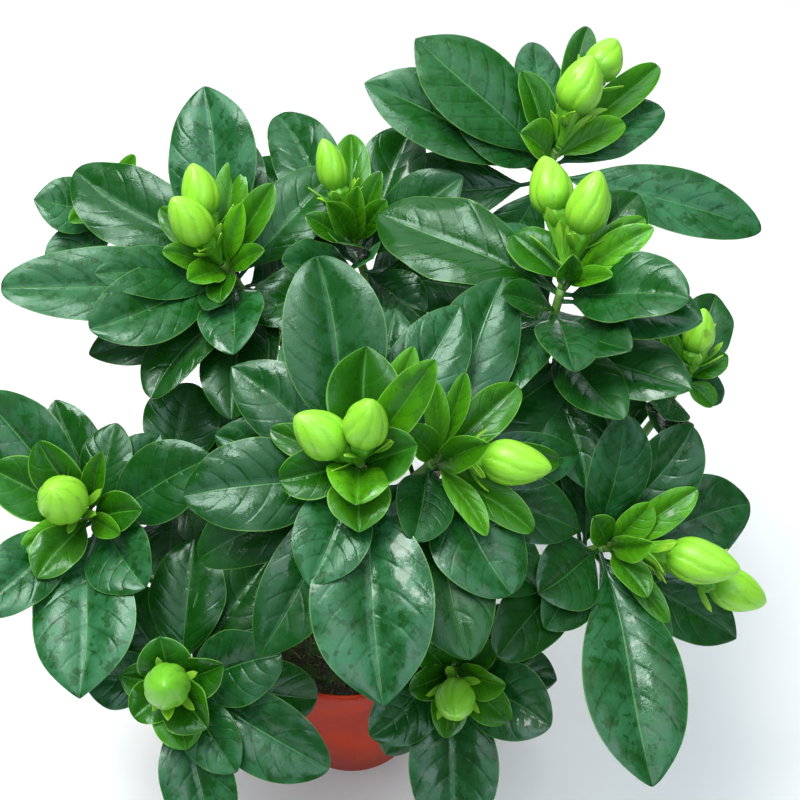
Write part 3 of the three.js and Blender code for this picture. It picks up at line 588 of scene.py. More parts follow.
def leafMaterial(name, kind):
    look, shape = leafLooks[kind], bladeShapes[kind]
    material, tree, shader, where = newMaterial(
        name, Subsurface_Weight=look["subsurface"], Subsurface_Scale=0.004, Subsurface_Radius=(0.5, 1.0, 0.2),
        Specular_IOR_Level=look["gloss"], Specular_Tint=(0.74, 1, 0.94, 1), Coat_Roughness=0.08,
    )
    veins = addNode(tree, "Group", {
        "Uv": addNode(tree, "UVMap", uv_map="leafUv").outputs[0], "Where": where, "Pairs": shape["pairs"],
        "Slope": shape["slope"], "Curve": shape["curve"], "Midrib width": look["ribWidth"],
        "Edge width": look["edgeWidth"],
    }, node_tree=leafVeins).outputs
    patch, speck = blotched(tree, where, 55.0, 420.0, 0.36)
    tintAndBudShade, under, wetLeaf, paintedSheen = [valueOf(tree, layer) for layer in ("tintAndBudShade", "under", "wet", "paintedSheen")]
    pool = between(tree, noiseAt(tree, where, 75.0, 4.0, 0.62), 0.5, 0.58)
    drops = between(tree, noiseAt(tree, where, 800.0, 1.0), 0.64, 0.68)
    wet = times(tree, times(tree, wetLeaf, 0.5), maths(tree, "MAXIMUM", pool, drops))
    spots = between(tree, noiseAt(tree, where, 140.0, 3.0, 0.6), 0.55, 0.59)
    dry = minus(tree, 1.0, times(tree, spots, 0.8))
    # painted sheen: the sky's reflection painted into the colour in patches, by each leaf's value, and not on the
    # damp spots
    paintedSheenShare = times(tree, maths(tree, "MULTIPLY_ADD", patch, 0.6, 0.4), times(tree, paintedSheen, dry))
    colour = mixColour(tree, paintedSheenShare, look["deep"], look["paintedSheen"])
    towardsEdge = between(tree, veins["Away"], 0.1, 0.95, look["middle"], 1.0)
    # the vein colour, darkest on mature leaves, is painted shade in the vein furrows
    for mask, share, towards in (
        (tintAndBudShade, towardsEdge, "tinted"),
        (veins["Vein"], look["veinShare"], "vein"),
        (under, 0.85, "under"),
        (wet, 0.9, "deep"),
        (veins["Midrib"], 0.55, "rib"),
        (veins["Edge"], 0.75, "edge"),
    ):
        colour = mixColour(tree, times(tree, mask, share), colour, look[towards])
    rough = minus(tree, between(tree, patch, 0.0, 1.0, *look["roughness"]), times(tree, speck, 0.12))
    height = times(tree, noiseAt(tree, where, 240.0), 0.9)
    for groove, depth in ((veins["Vein"], 0.7), (veins["Net"], 0.1), (veins["Midrib"], 0.9)):
        height = minus(tree, height, times(tree, groove, depth))
    tree.links.new(wet, shader.inputs["Coat Weight"])
    dress(tree, shader, colour, rough, height, look["bump"])
    return material


# shade: painted shade that darkens the buds of some shoots as a whole. seam: where one petal ends on the next,
# coloured darker as painted shade in its furrow
budLook = {
    "foot": (0.09, 0.33, 0.012, 1), "body": (0.3, 0.68, 0.035, 1), "tip": (0.4, 0.76, 0.1, 1),
    "shade": (0.1, 0.4, 0.012, 1), "seamShade": (0.09, 0.33, 0.01, 1), "streak": (0.22, 0.6, 0.03, 1),
    "roughness": (0.3, 0.45), "bump": 0.0002,
}


def budMaterial(name):
    look = budLook
    material, tree, shader, where = newMaterial(
        name, Subsurface_Weight=0.3, Subsurface_Scale=0.006, Subsurface_Radius=(0.6, 1.0, 0.2)
    )
    along, streak = valueOf(tree, "along"), noiseAt(tree, where, 160.0, 3.0)
    colour = mixColour(tree, between(tree, along, 0.05, 0.45), look["foot"], look["body"])
    # The tint layer holds each bud's painted shade.
    for share, towards in (
        (between(tree, along, 0.8, 1.0, 0.0, 0.3), "tip"),
        (valueOf(tree, "tintAndBudShade"), "shade"),
        (times(tree, valueOf(tree, "petal"), 0.6), "seamShade"),
        (times(tree, streak, 0.25), "streak"),
    ):
        colour = mixColour(tree, share, colour, look[towards])
    rough = between(tree, streak, 0.3, 0.7, *look["roughness"])
    dress(tree, shader, colour, rough, noiseAt(tree, where, 500.0), look["bump"])
    return material


# blotches: scale of the patches, scale and share of the specks. grain: scale, detail and roughness of the bump
speckledLooks = {
    "bark": {
        "dark": (0.12, 0.08, 0.045, 1), "light": (0.24, 0.19, 0.12, 1), "speck": (0.38, 0.35, 0.28, 1),
        "speckShare": 1.0, "blotches": (90.0, 700.0, 0.4), "roughness": (0.75, 0.95),
        "grain": (450.0, 5.0, 0.65), "bump": 0.001,
    },
    "potPlastic": {
        "dark": (0.4, 0.022, 0.005, 1), "light": (0.52, 0.04, 0.01, 1), "speck": (0.36, 0.2, 0.13, 1),
        "speckShare": 0.25, "blotches": (28.0, 260.0, 0.36), "roughness": (0.45, 0.6),
        "grain": (700.0, 3.0), "bump": 0.0002, "splash": (0.2, 0.1, 0.06, 1),
    },
    "soilCrumb": {
        "dark": (0.008, 0.008, 0.004, 1), "light": (0.035, 0.028, 0.016, 1), "speck": (0.12, 0.09, 0.055, 1),
        "speckShare": 0.6, "blotches": (75.0, 520.0, 0.42), "roughness": (0.7, 0.95),
        "grain": (380.0, 6.0, 0.7), "bump": 0.003, "algae": (0.025, 0.085, 0.01, 1),
    },
}


# Two colours in patches and specks of a third, with earth splashed on its foot or algae on it
def speckledMaterial(name, **sockets):
    look = speckledLooks[name]
    material, tree, shader, where = newMaterial(name, **sockets)
    patch, speck = blotched(tree, where, *look["blotches"])
    colour = mixColour(tree, patch, look["dark"], look["light"])
    colour = mixColour(tree, times(tree, speck, look["speckShare"]), colour, look["speck"])
    if "splash" in look:
        height = addNode(tree, "SeparateXYZ", {0: where}).outputs[2]
        splash = times(tree, between(tree, height, 0.05, 0.0), times(tree, patch, 0.3))
        colour = mixColour(tree, splash, colour, look["splash"])
    if "algae" in look:
        green = between(tree, noiseAt(tree, where, 42.0, 4.0), 0.44, 0.58, 0.0, 0.7)
        colour = mixColour(tree, green, colour, look["algae"])
    rough = between(tree, patch, 0.0, 1.0, *look["roughness"])
    dress(tree, shader, colour, rough, noiseAt(tree, where, *look["grain"]), look["bump"])
    return material


# patches: their scale. contrast: the values of the patches' noise that are all dark and all light
plainLooks = {
    "calyxSkin": {
        "dark": (0.05, 0.26, 0.01, 1), "light": (0.15, 0.46, 0.02, 1), "tip": (0.32, 0.62, 0.04, 1),
        "patches": 90.0, "roughness": (0.35, 0.5), "grain": (600.0, 2.0), "bump": 0.0002,
    },
    "greenShoot": {
        "dark": (0.05, 0.2, 0.02, 1), "light": (0.16, 0.3, 0.05, 1), "patches": 120.0, "contrast": (0.35, 0.65),
        "roughness": (0.45, 0.65), "grain": (500.0, 4.0), "bump": 0.0005,
    },
    "dryGrass": {
        "dark": (0.35, 0.27, 0.13, 1), "light": (0.62, 0.54, 0.34, 1), "patches": 200.0,
        "roughness": (0.6, 0.85), "grain": (900.0, 2.0), "bump": 0.0002,
    },
    "moss": {
        "dark": (0.05, 0.12, 0.01, 1), "light": (0.18, 0.34, 0.04, 1), "patches": 200.0,
        "roughness": (0.6, 0.85), "grain": (900.0, 2.0), "bump": 0.0002,
    },
}


# Two colours that run into each other, and a third towards the tip
def plainMaterial(name, **sockets):
    look = plainLooks[name]
    material, tree, shader, where = newMaterial(name, **sockets)
    patch = noiseAt(tree, where, look["patches"], 3.0)
    share = between(tree, patch, *look["contrast"]) if "contrast" in look else patch
    colour = mixColour(tree, share, look["dark"], look["light"])
    if "tip" in look:
        towardsTip = between(tree, valueOf(tree, "along"), 0.3, 1.0, 0.0, 0.7)
        colour = mixColour(tree, towardsTip, colour, look["tip"])
    rough = between(tree, patch, 0.3, 0.7, *look["roughness"])
    dress(tree, shader, colour, rough, noiseAt(tree, where, *look["grain"]), look["bump"])
    return material


materials = {
    "leaf": leafMaterial("matureLeaf", "leaf"),
    "young": leafMaterial("youngLeaf", "young"),
    "bud": budMaterial("budSkin"),
    "calyx": plainMaterial(
        "calyxSkin", Subsurface_Weight=0.15, Subsurface_Scale=0.004, Subsurface_Radius=(0.5, 1.0, 0.2)
    ),
    "bark": speckledMaterial("bark"),
    "shoot": plainMaterial("greenShoot"),
    "pot": speckledMaterial("potPlastic", Specular_IOR_Level=0.15),
    "soil": speckledMaterial("soilCrumb"),
    "dryGrass": plainMaterial("dryGrass"),
    "moss": plainMaterial("moss"),
}
print("materials made:", len(materials))


def addObject(name, data):
    made = bpy.data.objects.new(name, data)
    bpy.context.collection.objects.link(made)
    return made


def meshFrom(bm, name):
    mesh = bpy.data.meshes.new(name)
    bm.to_mesh(mesh)
    bm.free()
    return mesh


# A bmesh as a finished piece: it rides on the part and stands for its solids, which it hides
def finishPiece(bm, name, looks, slotName, *nodeNames):
    mesh = meshFrom(bm, name)
    for look in looks:
        mesh.materials.append(materials[look])
    mesh.polygons.foreach_set("use_smooth", [True] * len(mesh.polygons))
    piece = addObject(name, mesh)
    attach(piece, "root")
    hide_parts(*nodeNames)


# The values that a piece's materials read at each vertex, and the blades' UV map
def addLayers(bm, *names):
    for name in names:
        bm.verts.layers.float.new(name)
    bm.loops.layers.uv.new("leafUv")


# Edges sharper than an angle shade as edges
def creaseEdges(bm, degrees):
    for edge in bm.edges:
        edge.smooth = edge.calc_face_angle(0) < math.radians(degrees)


# A flat unit blade with a top, an underside and a crisp rim: x across from -1 to 1, y along from 0 to 1.
# Its rows lie closer and closer towards its tip, where they meet in one point.
def bladeTemplate(name, columns, rows):
    bm = bmesh.new()
    bmesh.ops.create_grid(bm, x_segments=columns, y_segments=rows, size=0.5)
    bmesh.ops.translate(bm, vec=(0, 0.5, 0), verts=bm.verts[:])
    bmesh.ops.scale(bm, vec=(2, 1, 1), verts=bm.verts[:])
    for v in bm.verts:
        if v.co.y > 0.9999:
            v.co.x = 0
        v.co.y = 1 - max(0, 1 - v.co.y) ** 1.4
    bmesh.ops.remove_doubles(bm, verts=bm.verts[:], dist=1e-5)
    grown = bmesh.ops.extrude_face_region(bm, geom=bm.faces[:])
    lifted = [part for part in grown["geom"] if isinstance(part, bmesh.types.BMVert)]
    bmesh.ops.translate(bm, vec=(0, 0, 1), verts=lifted)
    bmesh.ops.recalc_face_normals(bm, faces=bm.faces[:])
    addLayers(bm, "under", "tintAndBudShade", "along", "wet", "paintedSheen")
    uvLayer, underLayer = bm.loops.layers.uv["leafUv"], bm.verts.layers.float["under"]
    creaseEdges(bm, 60)
    for v in bm.verts:
        v[underLayer] = 0 if v.co.z > 0.5 else 1
    for face in bm.faces:
        for loop in face.loops:
            loop[uvLayer].uv = ((loop.vert.co.x + 1) / 2, loop.vert.co.y)
    bmesh.ops.translate(bm, vec=(0, 0, -0.5), verts=bm.verts[:])
    return meshFrom(bm, name)


templates = {
    name: bladeTemplate(name + "Blade", shape["columns"], shape["rows"]) for name, shape in bladeShapes.items()
}


# Half the width of a blade at a share of its length, as a share of its widest
def outlineAt(share, shape, tip, point):
    if share <= 0 or share >= 1:
        return 0
    power = shape["power"] + shape["foot"] * (1 - share) ** 4 + tip * share**4 + point * smoothStep(0.74, 1, share)
    return math.sin(math.pi * share**1.22) ** power


# The body of any blade: its margin and the petiole's edges are thinner, and the midrib stands out below
bladeBody = {"thinMargin": 0.45, "petioleDepth": 1.6, "thinPetiole": 0.5, "ribDepth": 0.9, "ribHalf": 2.5}


# Adds one blade to a bmesh: the unit blade laid along its bent middle line
def growBlade(bm, kind, leaf, chance, tintAndBudShade=0.0, wet=0.0, paintedSheen=0.5, material=0, folding=1.0):
    shape, body = bladeShapes[kind], bladeBody
    first, firstFace = len(bm.verts), len(bm.faces)
    bm.from_mesh(templates[kind])
    bm.verts.ensure_lookup_table()
    bm.faces.ensure_lookup_table()
    layers = bm.verts.layers.float
    tintLayer, alongLayer, wetLayer, paintedSheenLayer = [layers[layer] for layer in ("tintAndBudShade", "along", "wet", "paintedSheen")]
    side = leaf["along"].cross(leaf["face"])
    fold = math.tan(math.radians(chance.uniform(*shape["fold"]))) * folding
    quilt = chance.uniform(*shape["quilt"])
    sway = chance.uniform(-1, 1) * shape["sway"] * leaf["length"]
    phase = chance.uniform(0, 2 * math.pi)
    twist = math.radians(chance.uniform(-shape["twist"], shape["twist"]))
    waving = chance.choice(shape["wave"]) * folding
    tip, point = chance.uniform(*shape["tip"]), chance.uniform(*shape["point"])
    middle = leaf["width"] / 2
    rows = {}
    for v in bm.verts[first:]:
        x, y, z = v.co
        key = round(y * 10000)
        if key not in rows:
            at, up = bladeMiddle(leaf, y)
            turn = twist * smoothStep(0.1, 1, y)
            share = (y - layout["petioleShare"]) / (1 - layout["petioleShare"])
            half = max(middle * outlineAt(share, shape, tip, point), shape["petiole"] * smoothStep(1, 0.9, y))
            at = at + side * (sway * math.sin(2 * math.pi * y))
            turnedUp = up * math.cos(turn) - side * math.sin(turn)
            rows[key] = (at, turnedUp, side * math.cos(turn) + up * math.sin(turn), half)
        at, up, across, half = rows[key]
        away = abs(x)
        blade = min(1, half / middle)
        rank = shape["pairs"] * (y - shape["slope"] * away - shape["curve"] * away**2)
        cushion = abs(math.sin(math.pi * rank)) ** 0.7
        groove = (1 - cushion) * (4 * away * (1 - away)) ** 0.5
        lift = half * fold * away - quilt * groove * blade
        lift += middle * shape["crown"] * blade * math.sin(math.pi * away)
        lift += middle * waving * blade * away**3 * math.sin(2 * math.pi * shape["waves"] * y + phase + 1.3 * x)
        thick = shape["thickness"] * (1 - body["thinMargin"] * away)
        if y < layout["petioleShare"]:
            thick = shape["petiole"] * body["petioleDepth"] * (1 - body["thinPetiole"] * away * away)
        elif z < 0:
            thick += body["ribDepth"] * max(0, 1 - away * half / body["ribHalf"]) * (1 - y)
        v.co = (at + across * (half * x) + up * (lift + z * thick)) * mm
        v[tintLayer] = tintAndBudShade
        v[alongLayer] = y
        v[wetLayer] = wet
        # each leaf's share of painted sheen
        v[paintedSheenLayer] = paintedSheen
    for face in bm.faces[firstFace:]:
        face.material_index = material


# Points on a smooth line through the given ones
def smoothPath(points, perSpan):
    ends = [points[0] * 2 - points[1]] + points + [points[-1] * 2 - points[-2]]
    path = []
    for i in range(1, len(ends) - 2):
        a, b, c, d = ends[i - 1:i + 3]
        for k in range(perSpan):
            t = k / perSpan
            square, cube = 2 * a - 5 * b + 4 * c - d, 3 * b - a - 3 * c + d
            path.append(0.5 * (2 * b + (c - a) * t + square * t**2 + cube * t**3))
    return path + [points[-1]]


# Adds a round stem to a bmesh: a capped ring pushed along a path, its radius and ribs by the share of the way
def growStem(bm, path, radiusAt, sides, ribs=0, ribDepth=0.0, rough=0.0, material=0):
    first = len(bm.faces)
    ring = bmesh.ops.create_circle(bm, cap_ends=True, segments=sides, radius=1)
    bm.verts.ensure_lookup_table()
    cap = ring["verts"][0].link_faces[0]
    side = (path[1] - path[0]).orthogonal().normalized()
    for i, at in enumerate(path):
        ahead = (path[min(i + 1, len(path) - 1)] - path[max(i - 1, 0)]).normalized()
        side = (side - ahead * side.dot(ahead)).normalized()
        other = ahead.cross(side)
        share = i / (len(path) - 1)
        if i:
            grown = bmesh.ops.extrude_face_region(bm, geom=[cap] + list(cap.edges))
            cap = next(part for part in grown["geom"] if isinstance(part, bmesh.types.BMFace))
        for k, v in enumerate(cap.verts):
            a = 2 * math.pi * k / sides
            radius = radiusAt(share) * (1 + ribDepth * math.cos(ribs * a))
            spot = at + side * (radius * math.cos(a)) + other * (radius * math.sin(a))
            spot += (spot - at) * (rough * noise.noise(spot * 0.35))
            v.co = spot * mm
    bm.faces.ensure_lookup_table()
    fresh = bm.faces[first:]
    for face in fresh:
        face.material_index = material
    bmesh.ops.recalc_face_normals(bm, faces=fresh)


# Pot: the wall, floor and rim band spun from one profile, with the drain holes cut through
potSizes = {
    "height": 140, "rimRadius": 70, "baseRadius": 48, "wall": 2.4, "floor": 3, "band": 24, "step": 2.2,
    "holes": 5, "holeRadius": 4.5, "holeRing": 27, "steps": 128,
}


def wallAt(z):
    p = potSizes
    return p["baseRadius"] + (p["rimRadius"] - p["step"] - p["baseRadius"]) * z / p["height"]


def innerAt(z):
    p = potSizes
    foot = p["height"] - p["band"]
    low = wallAt(foot) + p["step"] - p["wall"] - 0.6
    return lerp(low, p["rimRadius"] - p["wall"], (z - foot - 1) / (p["band"] - 1))


# A ring of profile points (radius, height) spun into a closed body
def spinProfile(bm, profile, steps):
    line = [bm.verts.new((r * mm, 0, z * mm)) for r, z in profile]
    edges = [bm.edges.new(pair) for pair in zip(line, line[1:])]
    bmesh.ops.spin(
        bm, geom=line + edges, cent=(0, 0, 0), axis=(0, 0, 1), angle=2 * math.pi, steps=steps, use_merge=True
    )
    bmesh.ops.remove_doubles(bm, verts=bm.verts[:], dist=1e-6)
    bmesh.ops.recalc_face_normals(bm, faces=bm.faces[:])


def makePot():
    p = potSizes
    foot, top, wall, rim, base = p["height"] - p["band"], p["height"], p["wall"], p["rimRadius"], p["baseRadius"]
    bandRadius = wallAt(foot) + p["step"]
    bm = bmesh.new()
    spinProfile(bm, [
        (0, 0), (base - 2.5, 0), (base - 1.2, 0.5), (base, 2),
        (wallAt(foot * 0.5), foot * 0.5), (wallAt(foot - 1), foot - 1), (wallAt(foot), foot - 0.2),
        (bandRadius - 0.8, foot + 0.2), (bandRadius, foot + 1.2),
        (rim - 1.3, top - 7), (rim - 0.6, top - 5.6), (rim + 0.2, top - 4.6),
        (rim + 0.3, top - 1.4), (rim - 0.2, top - 0.4), (rim - 0.9, top),
        (rim - wall + 0.5, top), (rim - wall - 0.1, top - 0.5),
        (innerAt(foot + 1), foot + 1), (wallAt(foot) - wall, foot - 3),
        (base - wall, p["floor"] + 1.5), (base - wall - 1.5, p["floor"]), (0, p["floor"]),
    ], p["steps"])
    blank = addObject("potBlank", meshFrom(bm, "potBlank"))
    cutters = bmesh.new()
    radius = p["holeRadius"] * mm
    for i in range(p["holes"]):
        a = 2 * math.pi * i / p["holes"]
        place = Matrix.Translation((p["holeRing"] * math.cos(a) * mm, p["holeRing"] * math.sin(a) * mm, 0))
        bmesh.ops.create_cone(
            cutters, cap_ends=True, segments=24, radius1=radius, radius2=radius, depth=4 * p["floor"] * mm,
            matrix=place,
        )
    cutter = addObject("drainCutters", meshFrom(cutters, "drainCutters"))
    cut = blank.modifiers.new("drain", "BOOLEAN")
    cut.object, cut.operation, cut.solver = cutter, "DIFFERENCE", "EXACT"
    evaluated = blank.evaluated_get(bpy.context.evaluated_depsgraph_get())
    bm = bmesh.new()
    bm.from_mesh(evaluated.to_mesh())
    evaluated.to_mesh_clear()
    bpy.data.objects.remove(blank)
    bpy.data.objects.remove(cutter)
    creaseEdges(bm, 50)
    finishPiece(bm, "flowerPot", ["pot"], "pot_plastic", "pot")


# Soil: a lumpy body in the pot, with crumbs, moss and dry grass on it.
# lumps: how fine and how high they are, coarse ones and small ones. rise: how steeply moss and grass stand.
soilSizes = {
    "below": 13, "mound": 4, "rings": 18, "steps": 96, "lumps": ((0.09, 2.2), (0.3, 1.1)),
    "crumbs": 260, "crumbSize": (0.8, 2.4),
    "moss": 1100, "mossRise": (0.5, 1.4), "mossLength": (2, 5), "mossRadius": 0.42,
    "grass": 22, "grassRise": 0.35, "grassLength": (12, 32), "grassRadius": 0.4,
}


def soilHeight(x, y):
    s = soilSizes
    top = potSizes["height"] - s["below"]
    r = math.hypot(x, y) / innerAt(top)
    (coarse, high), (small, low) = s["lumps"]
    lump = noise.noise(Vector((x, y, 0)) * coarse) * high + noise.noise(Vector((x, y, 9)) * small) * low
    return top + s["mound"] * (1 - r * r) + lump * (1 - r**6)


def makeSoil():
    p, s = potSizes, soilSizes
    top, foot = p["height"] - s["below"], p["height"] - p["band"]
    floor, base, edge = p["floor"], p["baseRadius"] - p["wall"], innerAt(top) - 0.5
    profile = [
        (0, floor + 0.3), (base - 2, floor + 0.3), (base - 0.5, floor + 2.5),
        (wallAt(foot) - p["wall"] - 0.6, foot - 3), (innerAt(foot + 1) - 0.6, foot + 1), (edge, top - 1),
    ]
    profile += [(edge * (1 - k / s["rings"]), top) for k in range(s["rings"])] + [(0, top)]
    bm = bmesh.new()
    spinProfile(bm, profile, s["steps"])
    for v in bm.verts:
        if v.co.z > (top - 0.5) * mm:
            v.co.z = soilHeight(v.co.x / mm, v.co.y / mm) * mm
    chance = random.Random(11)

    def spot(reach):
        r, a = edge * reach * math.sqrt(chance.random()), chance.uniform(0, 2 * math.pi)
        return Vector((r * math.cos(a), r * math.sin(a), 0))

    for _ in range(s["crumbs"]):
        at = spot(0.94)
        size = chance.uniform(*s["crumbSize"])
        at.z = soilHeight(at.x, at.y) + 0.15 * size
        wide, high = size * chance.uniform(0.6, 1), size * chance.uniform(0.5, 0.9)
        squash = Matrix.Diagonal((size * mm, wide * mm, high * mm, 1))
        turn = Matrix.Rotation(chance.uniform(0, 6.28), 4, Vector((chance.random(), chance.random(), 1)))
        bmesh.ops.create_icosphere(bm, subdivisions=1, radius=1, matrix=Matrix.Translation(at * mm) @ turn @ squash)
    for material, kind in enumerate(("moss", "grass"), 1):
        moss = kind == "moss"
        for _ in range(s[kind]):
            at = spot(0.97)
            at.z = soilHeight(at.x, at.y) - 0.6
            lean = Vector((chance.uniform(-1, 1), chance.uniform(-1, 1), s["grassRise"]))
            if moss:
                lean.z = chance.uniform(*s["mossRise"])
            tall = chance.uniform(*s[kind + "Length"])
            middle = at + lean.normalized() * (tall * 0.5) + Vector((0, 0, tall * 0.14))
            end = at + lean.normalized() * tall
            if math.hypot(end.x, end.y) < edge - 1:
                path = smoothPath([at, middle, end], 1 if moss else 3)
                growStem(bm, path, lambda share: s[kind + "Radius"] * (1 - 0.8 * share), 3, material=material)
    finishPiece(bm, "soilAndMoss", ["soil", "moss", "dryGrass"], "soil", "soil")


# Stems: the trunk, its forks and a bare branch to the foot of each shoot.
# trunkRibs and branchRibs: sides of the mesh, how many ribs and how deep.
stemSizes = {
    "trunk": 6, "fork": 4, "branch": 2.6, "arch": 4, "footRun": 28, "lowFoot": 160, "lowFootRun": 12,
    "trunkRibs": (16, 4, 0.06), "branchRibs": (12, 3, 0.05), "rough": 0.25,
}


def makeStems():
    s = stemSizes
    bm = bmesh.new()

    def bough(points, fromRadius, toRadius, ribs):
        growStem(bm, smoothPath(points, 8), lambda share: lerp(fromRadius, toRadius, share), *ribs, s["rough"])

    low = [Vector(point) for point in trunk]
    bough(low, s["trunk"], s["fork"], s["trunkRibs"])
    for point in forks.values():
        middle = low[1].lerp(Vector(point), 0.5) + Vector((0, 0, s["arch"]))
        bough([low[1], middle, Vector(point)], s["fork"] + 0.6, s["fork"] - 0.6, s["branchRibs"])
    for to, start, via in branches:
        shoot = next(one for one in shoots if one["name"] == to)
        begin = low[1] if start == "trunk" else Vector(forks[start])
        foot = shoot["at"] - shoot["up"] * (layout["shootLength"] - 1)
        run = s["lowFootRun"] if foot.z < s["lowFoot"] else s["footRun"]
        before = shoot["at"] - shoot["up"] * (layout["shootLength"] + run)
        points = [begin] + [Vector(point) for point in via] + [before, foot]
        bough(points, s["fork"] - 1, s["branch"], s["branchRibs"])
    finishPiece(bm, "stemWood", ["bark"], "bark", "stems")


# Bud: a ribbed calyx, a fat body of petals furled one over the next, thin sepals and small bracts.
# stalk: the calyx's radii from its foot up. grip and reach: how wide and how high it holds the body.
budShape = {
    "segments": 84, "rings": 30, "petals": 7, "twist": 60, "step": 0.07, "stalk": (2.4, 4.0, 6.2, 7.1),
    "grip": 0.54, "reach": 0.15, "ribs": 6, "ribDepth": 0.09, "foot": (2.2, 2.8),
    "bracts": 5, "bractLength": (17, 30), "bractWidth": (6, 9.5), "bractSpread": (10, 36),
    "bractScatter": (0, 0.7), "bractPlace": (0.1, 0.55), "bractOffset": 2.6, "bractBend": (-24, 30),
}
# By shoot: how far painted shade darkens its buds, from none 0 to full 1
paintedBudShades = {"09": 0.8, "10": 0.5, "02": 0.3, "06": 0.25}


def growBud(bm, start, along, length, width, paintedBudShade):
    b = budShape
    side = along.cross(viewOut).normalized()
    other = along.cross(side)
    first = len(bm.faces)
    layers = bm.verts.layers.float
    alongLayer, petalLayer, paintedBudShadeLayer = layers["along"], layers["petal"], layers["tintAndBudShade"]
    ball = bmesh.ops.create_uvsphere(bm, u_segments=b["segments"], v_segments=b["rings"], radius=1)
    for v in ball["verts"]:
        share = (1 + v.co.z) / 2
        a = math.atan2(v.co.y, v.co.x)
        sides = math.sin(math.pi * min(1, max(0, share)) ** 0.82)
        radius = width / 2 * max(0, sides) ** (0.62 + 0.5 * (1 - share) ** 3) if 0 < share < 1 else 0
        turned = (a - math.radians(b["twist"]) * share**1.6) * b["petals"] / (2 * math.pi)
        fold = turned - math.floor(turned)
        radius *= 1 - b["step"] * smoothStep(0.02, 0.3, share) * (fold**4 - 0.3 * math.sin(math.pi * fold))
        outwards = side * (radius * math.cos(a)) + other * (radius * math.sin(a))
        v.co = (start + along * (length * share) + outwards) * mm
        v[alongLayer] = share
        # the seams between the petals, which the bud material colours darker as painted shade in the furrows
        v[petalLayer] = fold**14 * smoothStep(0.04, 0.2, share)
        # painted shade over the whole bud
        v[paintedBudShadeLayer] = paintedBudShade
    bm.faces.ensure_lookup_table()
    bmesh.ops.recalc_face_normals(bm, faces=bm.faces[first:])


# A leaflet that spreads away from the bud's own direction
def leaflet(root, along, out, spread, length, width, bend):
    pointing = along * math.cos(spread) + out * math.sin(spread)
    face = (along - pointing * along.dot(pointing)).normalized()
    return {
        "root": root, "along": pointing, "face": face, "length": length, "width": width, "bend": math.radians(bend),
    }


def makeBuds(shoot):
    b = budShape
    bm = bmesh.new()
    addLayers(bm, "along", "petal", "tintAndBudShade", "under", "wet", "paintedSheen")
    chance = random.Random(int(shoot["name"]))
    base = shoot["at"] + shoot["up"] * layout["receptacle"]
    growStem(bm, [shoot["at"] + shoot["up"] * 0.3, base, base + shoot["up"] * 0.6],
             lambda share: lerp(*b["foot"], share), 12, material=1)
    for row, ring in zip(shoot["buds"], shoot["sepals"]):
        along = direction(row[0], row[1])
        stalk, length, width = [value * shoot["size"] for value in row[2:]]
        start = base + along * stalk
        growBud(bm, start, along, length, width, paintedBudShades.get(shoot["name"], 0.1))
        low = [base, base + along * stalk * 0.5, start - along * 2, start + along * 2]
        low.append(start + along * length * b["reach"])
        radii = [*b["stalk"], width / 2 * b["grip"]]

        def calyxAt(share):
            place = share * (len(radii) - 1)
            k = min(int(place), len(radii) - 2)
            return lerp(radii[k], radii[k + 1], place - k)

        growStem(bm, smoothPath(low, 4), calyxAt, 30, b["ribs"], b["ribDepth"], material=1)
        side = along.cross(viewRight).normalized()
        for i in range(b["bracts"]):
            around = 2 * math.pi * (i + chance.uniform(*b["bractScatter"])) / b["bracts"]
            out = Quaternion(along, around) @ side
            spread = math.radians(chance.uniform(*b["bractSpread"]))
            root = base + along * stalk * chance.uniform(*b["bractPlace"]) + out * b["bractOffset"]
            sizes = [chance.uniform(*b[key]) for key in ("bractLength", "bractWidth", "bractBend")]
            growBlade(bm, "bract", leaflet(root, along, out, spread, *sizes), chance, material=1)
        for around, spread, reach in ring:
            out = Quaternion(along, around) @ side
            root = start - along * sepals["belowBud"]
            sepal = leaflet(root, along, out, spread, reach, sepals["width"], sepals["bend"])
            growBlade(bm, "sepal", sepal, chance, material=1)
    finishPiece(bm, "buds" + shoot["name"], ["bud", "calyx"], "bud", "bud_" + shoot["name"])


# Leafy shoot: a green stem and its mature leaves. Young tip: the small bright leaves at its end
counts = {"leaf": 0, "young": 0, "missed": 0}

# By shoot and row: how yellow the young leaves are, from dark green 0 to bright 1
youngTones = {
    "01": (0.45, 0.3, 0.7, 0.25, 0.35, 0.45, 0.1, 0.35), "02": (0.3, 0.2, 0.45, 0.2, 0.3, 0.15),
    "03": (0.35, 0.6, 0.25, 0.05, 0.1), "04": (0.8, 0.5, 0.45, 0.35, 0.4, 0.1, 0.3), "05": (0.15, 0.3, 0.4, 0.2),
    "06": (0.08, 0.55, 0.4, 0.12, 0.06, 0.7, 0.25, 0.1), "07": (0.5, 0.35, 0.25, 0.3, 0.1, 0.5, 0.2, 0.2),
    "08": (0.08, 0.05, 0.2, 0.08, 0.3, 0.2, 0.6), "09": (0.05, 0.1, 0.25, 0.1, 0.05, 0.08),
    "10": (0.1, 0.4, 0.2, 0.3, 0.05, 0.05), "11": (0.6, 0.65, 0.25, 0.3, 0.55, 0.2), "12": (0.3, 0.35, 0.3),
    "13": (0.2, 0.15, 0.25),
}
